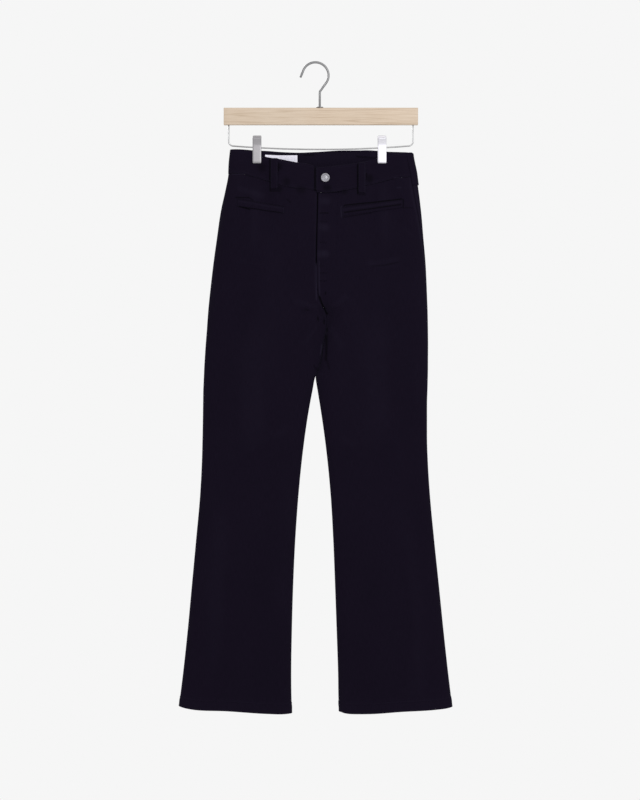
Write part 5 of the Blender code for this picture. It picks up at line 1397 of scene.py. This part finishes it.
SIDE_LOOP_PROUD, SIDE_LOOP_FLAT, SIDE_LOOP_BOW, SIDE_LOOP_RUB = 0.0004, 0.6, 0.25, 0.2

across = (0.5 - 0.5 * np.cos(np.pi * np.linspace(0, 1, LOOP_COLUMNS)))[None, :]
down = np.linspace(0, 1, LOOP_ROWS)[:, None]
from_side = np.minimum(across, 1 - across) * LOOP_WIDTH
from_end = np.minimum(down, 1 - down) * LOOP_LENGTH
thickness = LOOP_CLOTH * (0.2 + 0.8 * rounded_edge(np.minimum(from_side, from_end), 0.0013))
thickness -= 0.00030 * ridge(from_side - 0.0028, 0.0008)
lift = LOOP_LIFT + LOOP_BOW * smooth((np.minimum(down, 1 - down) - LOOP_TACK) / (0.5 - LOOP_TACK))
wear_and_light_mask = 0.35 * ridge(from_side - 0.0012, 0.0010) + 0 * down
# Painted shadow along each loop's left edge and under its lower end.
painted_shade_mask = ridge(across * LOOP_WIDTH, 0.0009) + ridge((1 - down) * LOOP_LENGTH, 0.0010)
painted_shade_mask = np.clip(painted_shade_mask, 0, 1)


def turns_for_metre(side, turn, depth, probe=0.002):
    """How far round the ring one metre of cloth reaches at each place."""
    here, _ = cloth_points(side, turn + probe / 2, depth, 0.0)
    there, _ = cloth_points(side, turn - probe / 2, depth, 0.0)
    return probe / np.linalg.norm(here - there, axis=-1)


sewn = []
for name, face, band_name, middle_x, top, low in FLAT_LOOPS:
    places = pairs_of(middle_x + (across - 0.5) * LOOP_WIDTH, top + down * (low - top))
    outer, inner = laid_strip(face, places, thickness, lift)
    loop_name = name + "_cloth"
    mesh = grid_mesh(loop_name, outer, inner, places, wear_and_light_mask, painted_shade_mask)
    cloth_piece(loop_name, mesh, (LOOP_WIDTH, low - top), None, [band_name], name)
    first, last = top + LOOP_END, low - LOOP_END
    for row_x in (middle_x - LOOP_STITCH, middle_x + LOOP_STITCH):
        sewn += sew(face, [[(row_x, first), (row_x, last)]], [loop_name])
    for tack_depth in (first, last):
        sewn += bar_tack(face, (middle_x, tack_depth), 0.0120, 0.0016, [loop_name])
add_stitches("stitches_loops", sewn)

for name, side, middle, top, low in SIDE_LOOPS:
    depth = top + down * (low - top)
    turn = middle + (across - 0.5) * LOOP_WIDTH * turns_for_metre(side, middle, depth)
    flat_cloth = thickness * SIDE_LOOP_FLAT
    proud = BAND_PROUD + SIDE_LOOP_PROUD + SIDE_LOOP_BOW * lift + flat_cloth
    outer, inner = cloth_points(side, turn, depth, flat_cloth, proud)
    mesh = grid_mesh(name + "_cloth", outer, inner, pairs_of(across * LOOP_WIDTH, depth), SIDE_LOOP_RUB * wear_and_light_mask)
    cloth_piece(name + "_cloth", mesh, (LOOP_WIDTH, low - top), None, ["band_back"], name)


# ---- Button ----
# A nickel shank button with a rolled rim, a fine ring and a small raised dot, its post through the overlap.
BUTTON_X, BUTTON_DEPTH, POST_RADIUS = 0.0204, 0.2371, 0.0034

button_profile = (
    (0, 0), (POST_RADIUS, 0), (POST_RADIUS, 0.0015), (0.0080, 0.0017), (0.0086, 0.0021),
    (0.0090, 0.0027), (0.0090, 0.0033), (0.0088, 0.0038), (0.0084, 0.0042), (0.0079, 0.0043),
    (0.0075, 0.0040), (0.0072, 0.0030), (0.0069, 0.0027), (0.0062, 0.0027), (0.0054, 0.0034),
    (0.0050, 0.0040), (0.0046, 0.0041), (0.0041, 0.0036), (0.0028, 0.0036), (0.0018, 0.0042),
    (0.0015, 0.0045), (0.0010, 0.0047), (0, 0.0048),
)
button_mesh = turned_mesh("button", button_profile, steps=64)
under_post = [BUTTON_X + dx for dx in (-POST_RADIUS, 0, POST_RADIUS)]
seat_y = min(cloth_surface("front", x, BUTTON_DEPTH, ["band_right"])[0].y for x in under_post)
to_viewer = Matrix.Rotation(math.radians(90), 4, "X")
button_mesh.transform(Matrix.Translation((BUTTON_X, seat_y - 0.0002, -BUTTON_DEPTH)) @ to_viewer)
nickel = satin_steel("button_nickel", (0.385, 0.38, 0.41), 0.45, streak=0.25)
finish_piece("button_cap", button_mesh, "button", "button", material=nickel)


low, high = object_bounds()
sizes = {"cad": [cad_low, cad_high], "shown": [low, high]}
sizes = {key: [[round(float(v), 5) for v in corner] for corner in corners] for key, corners in sizes.items()}
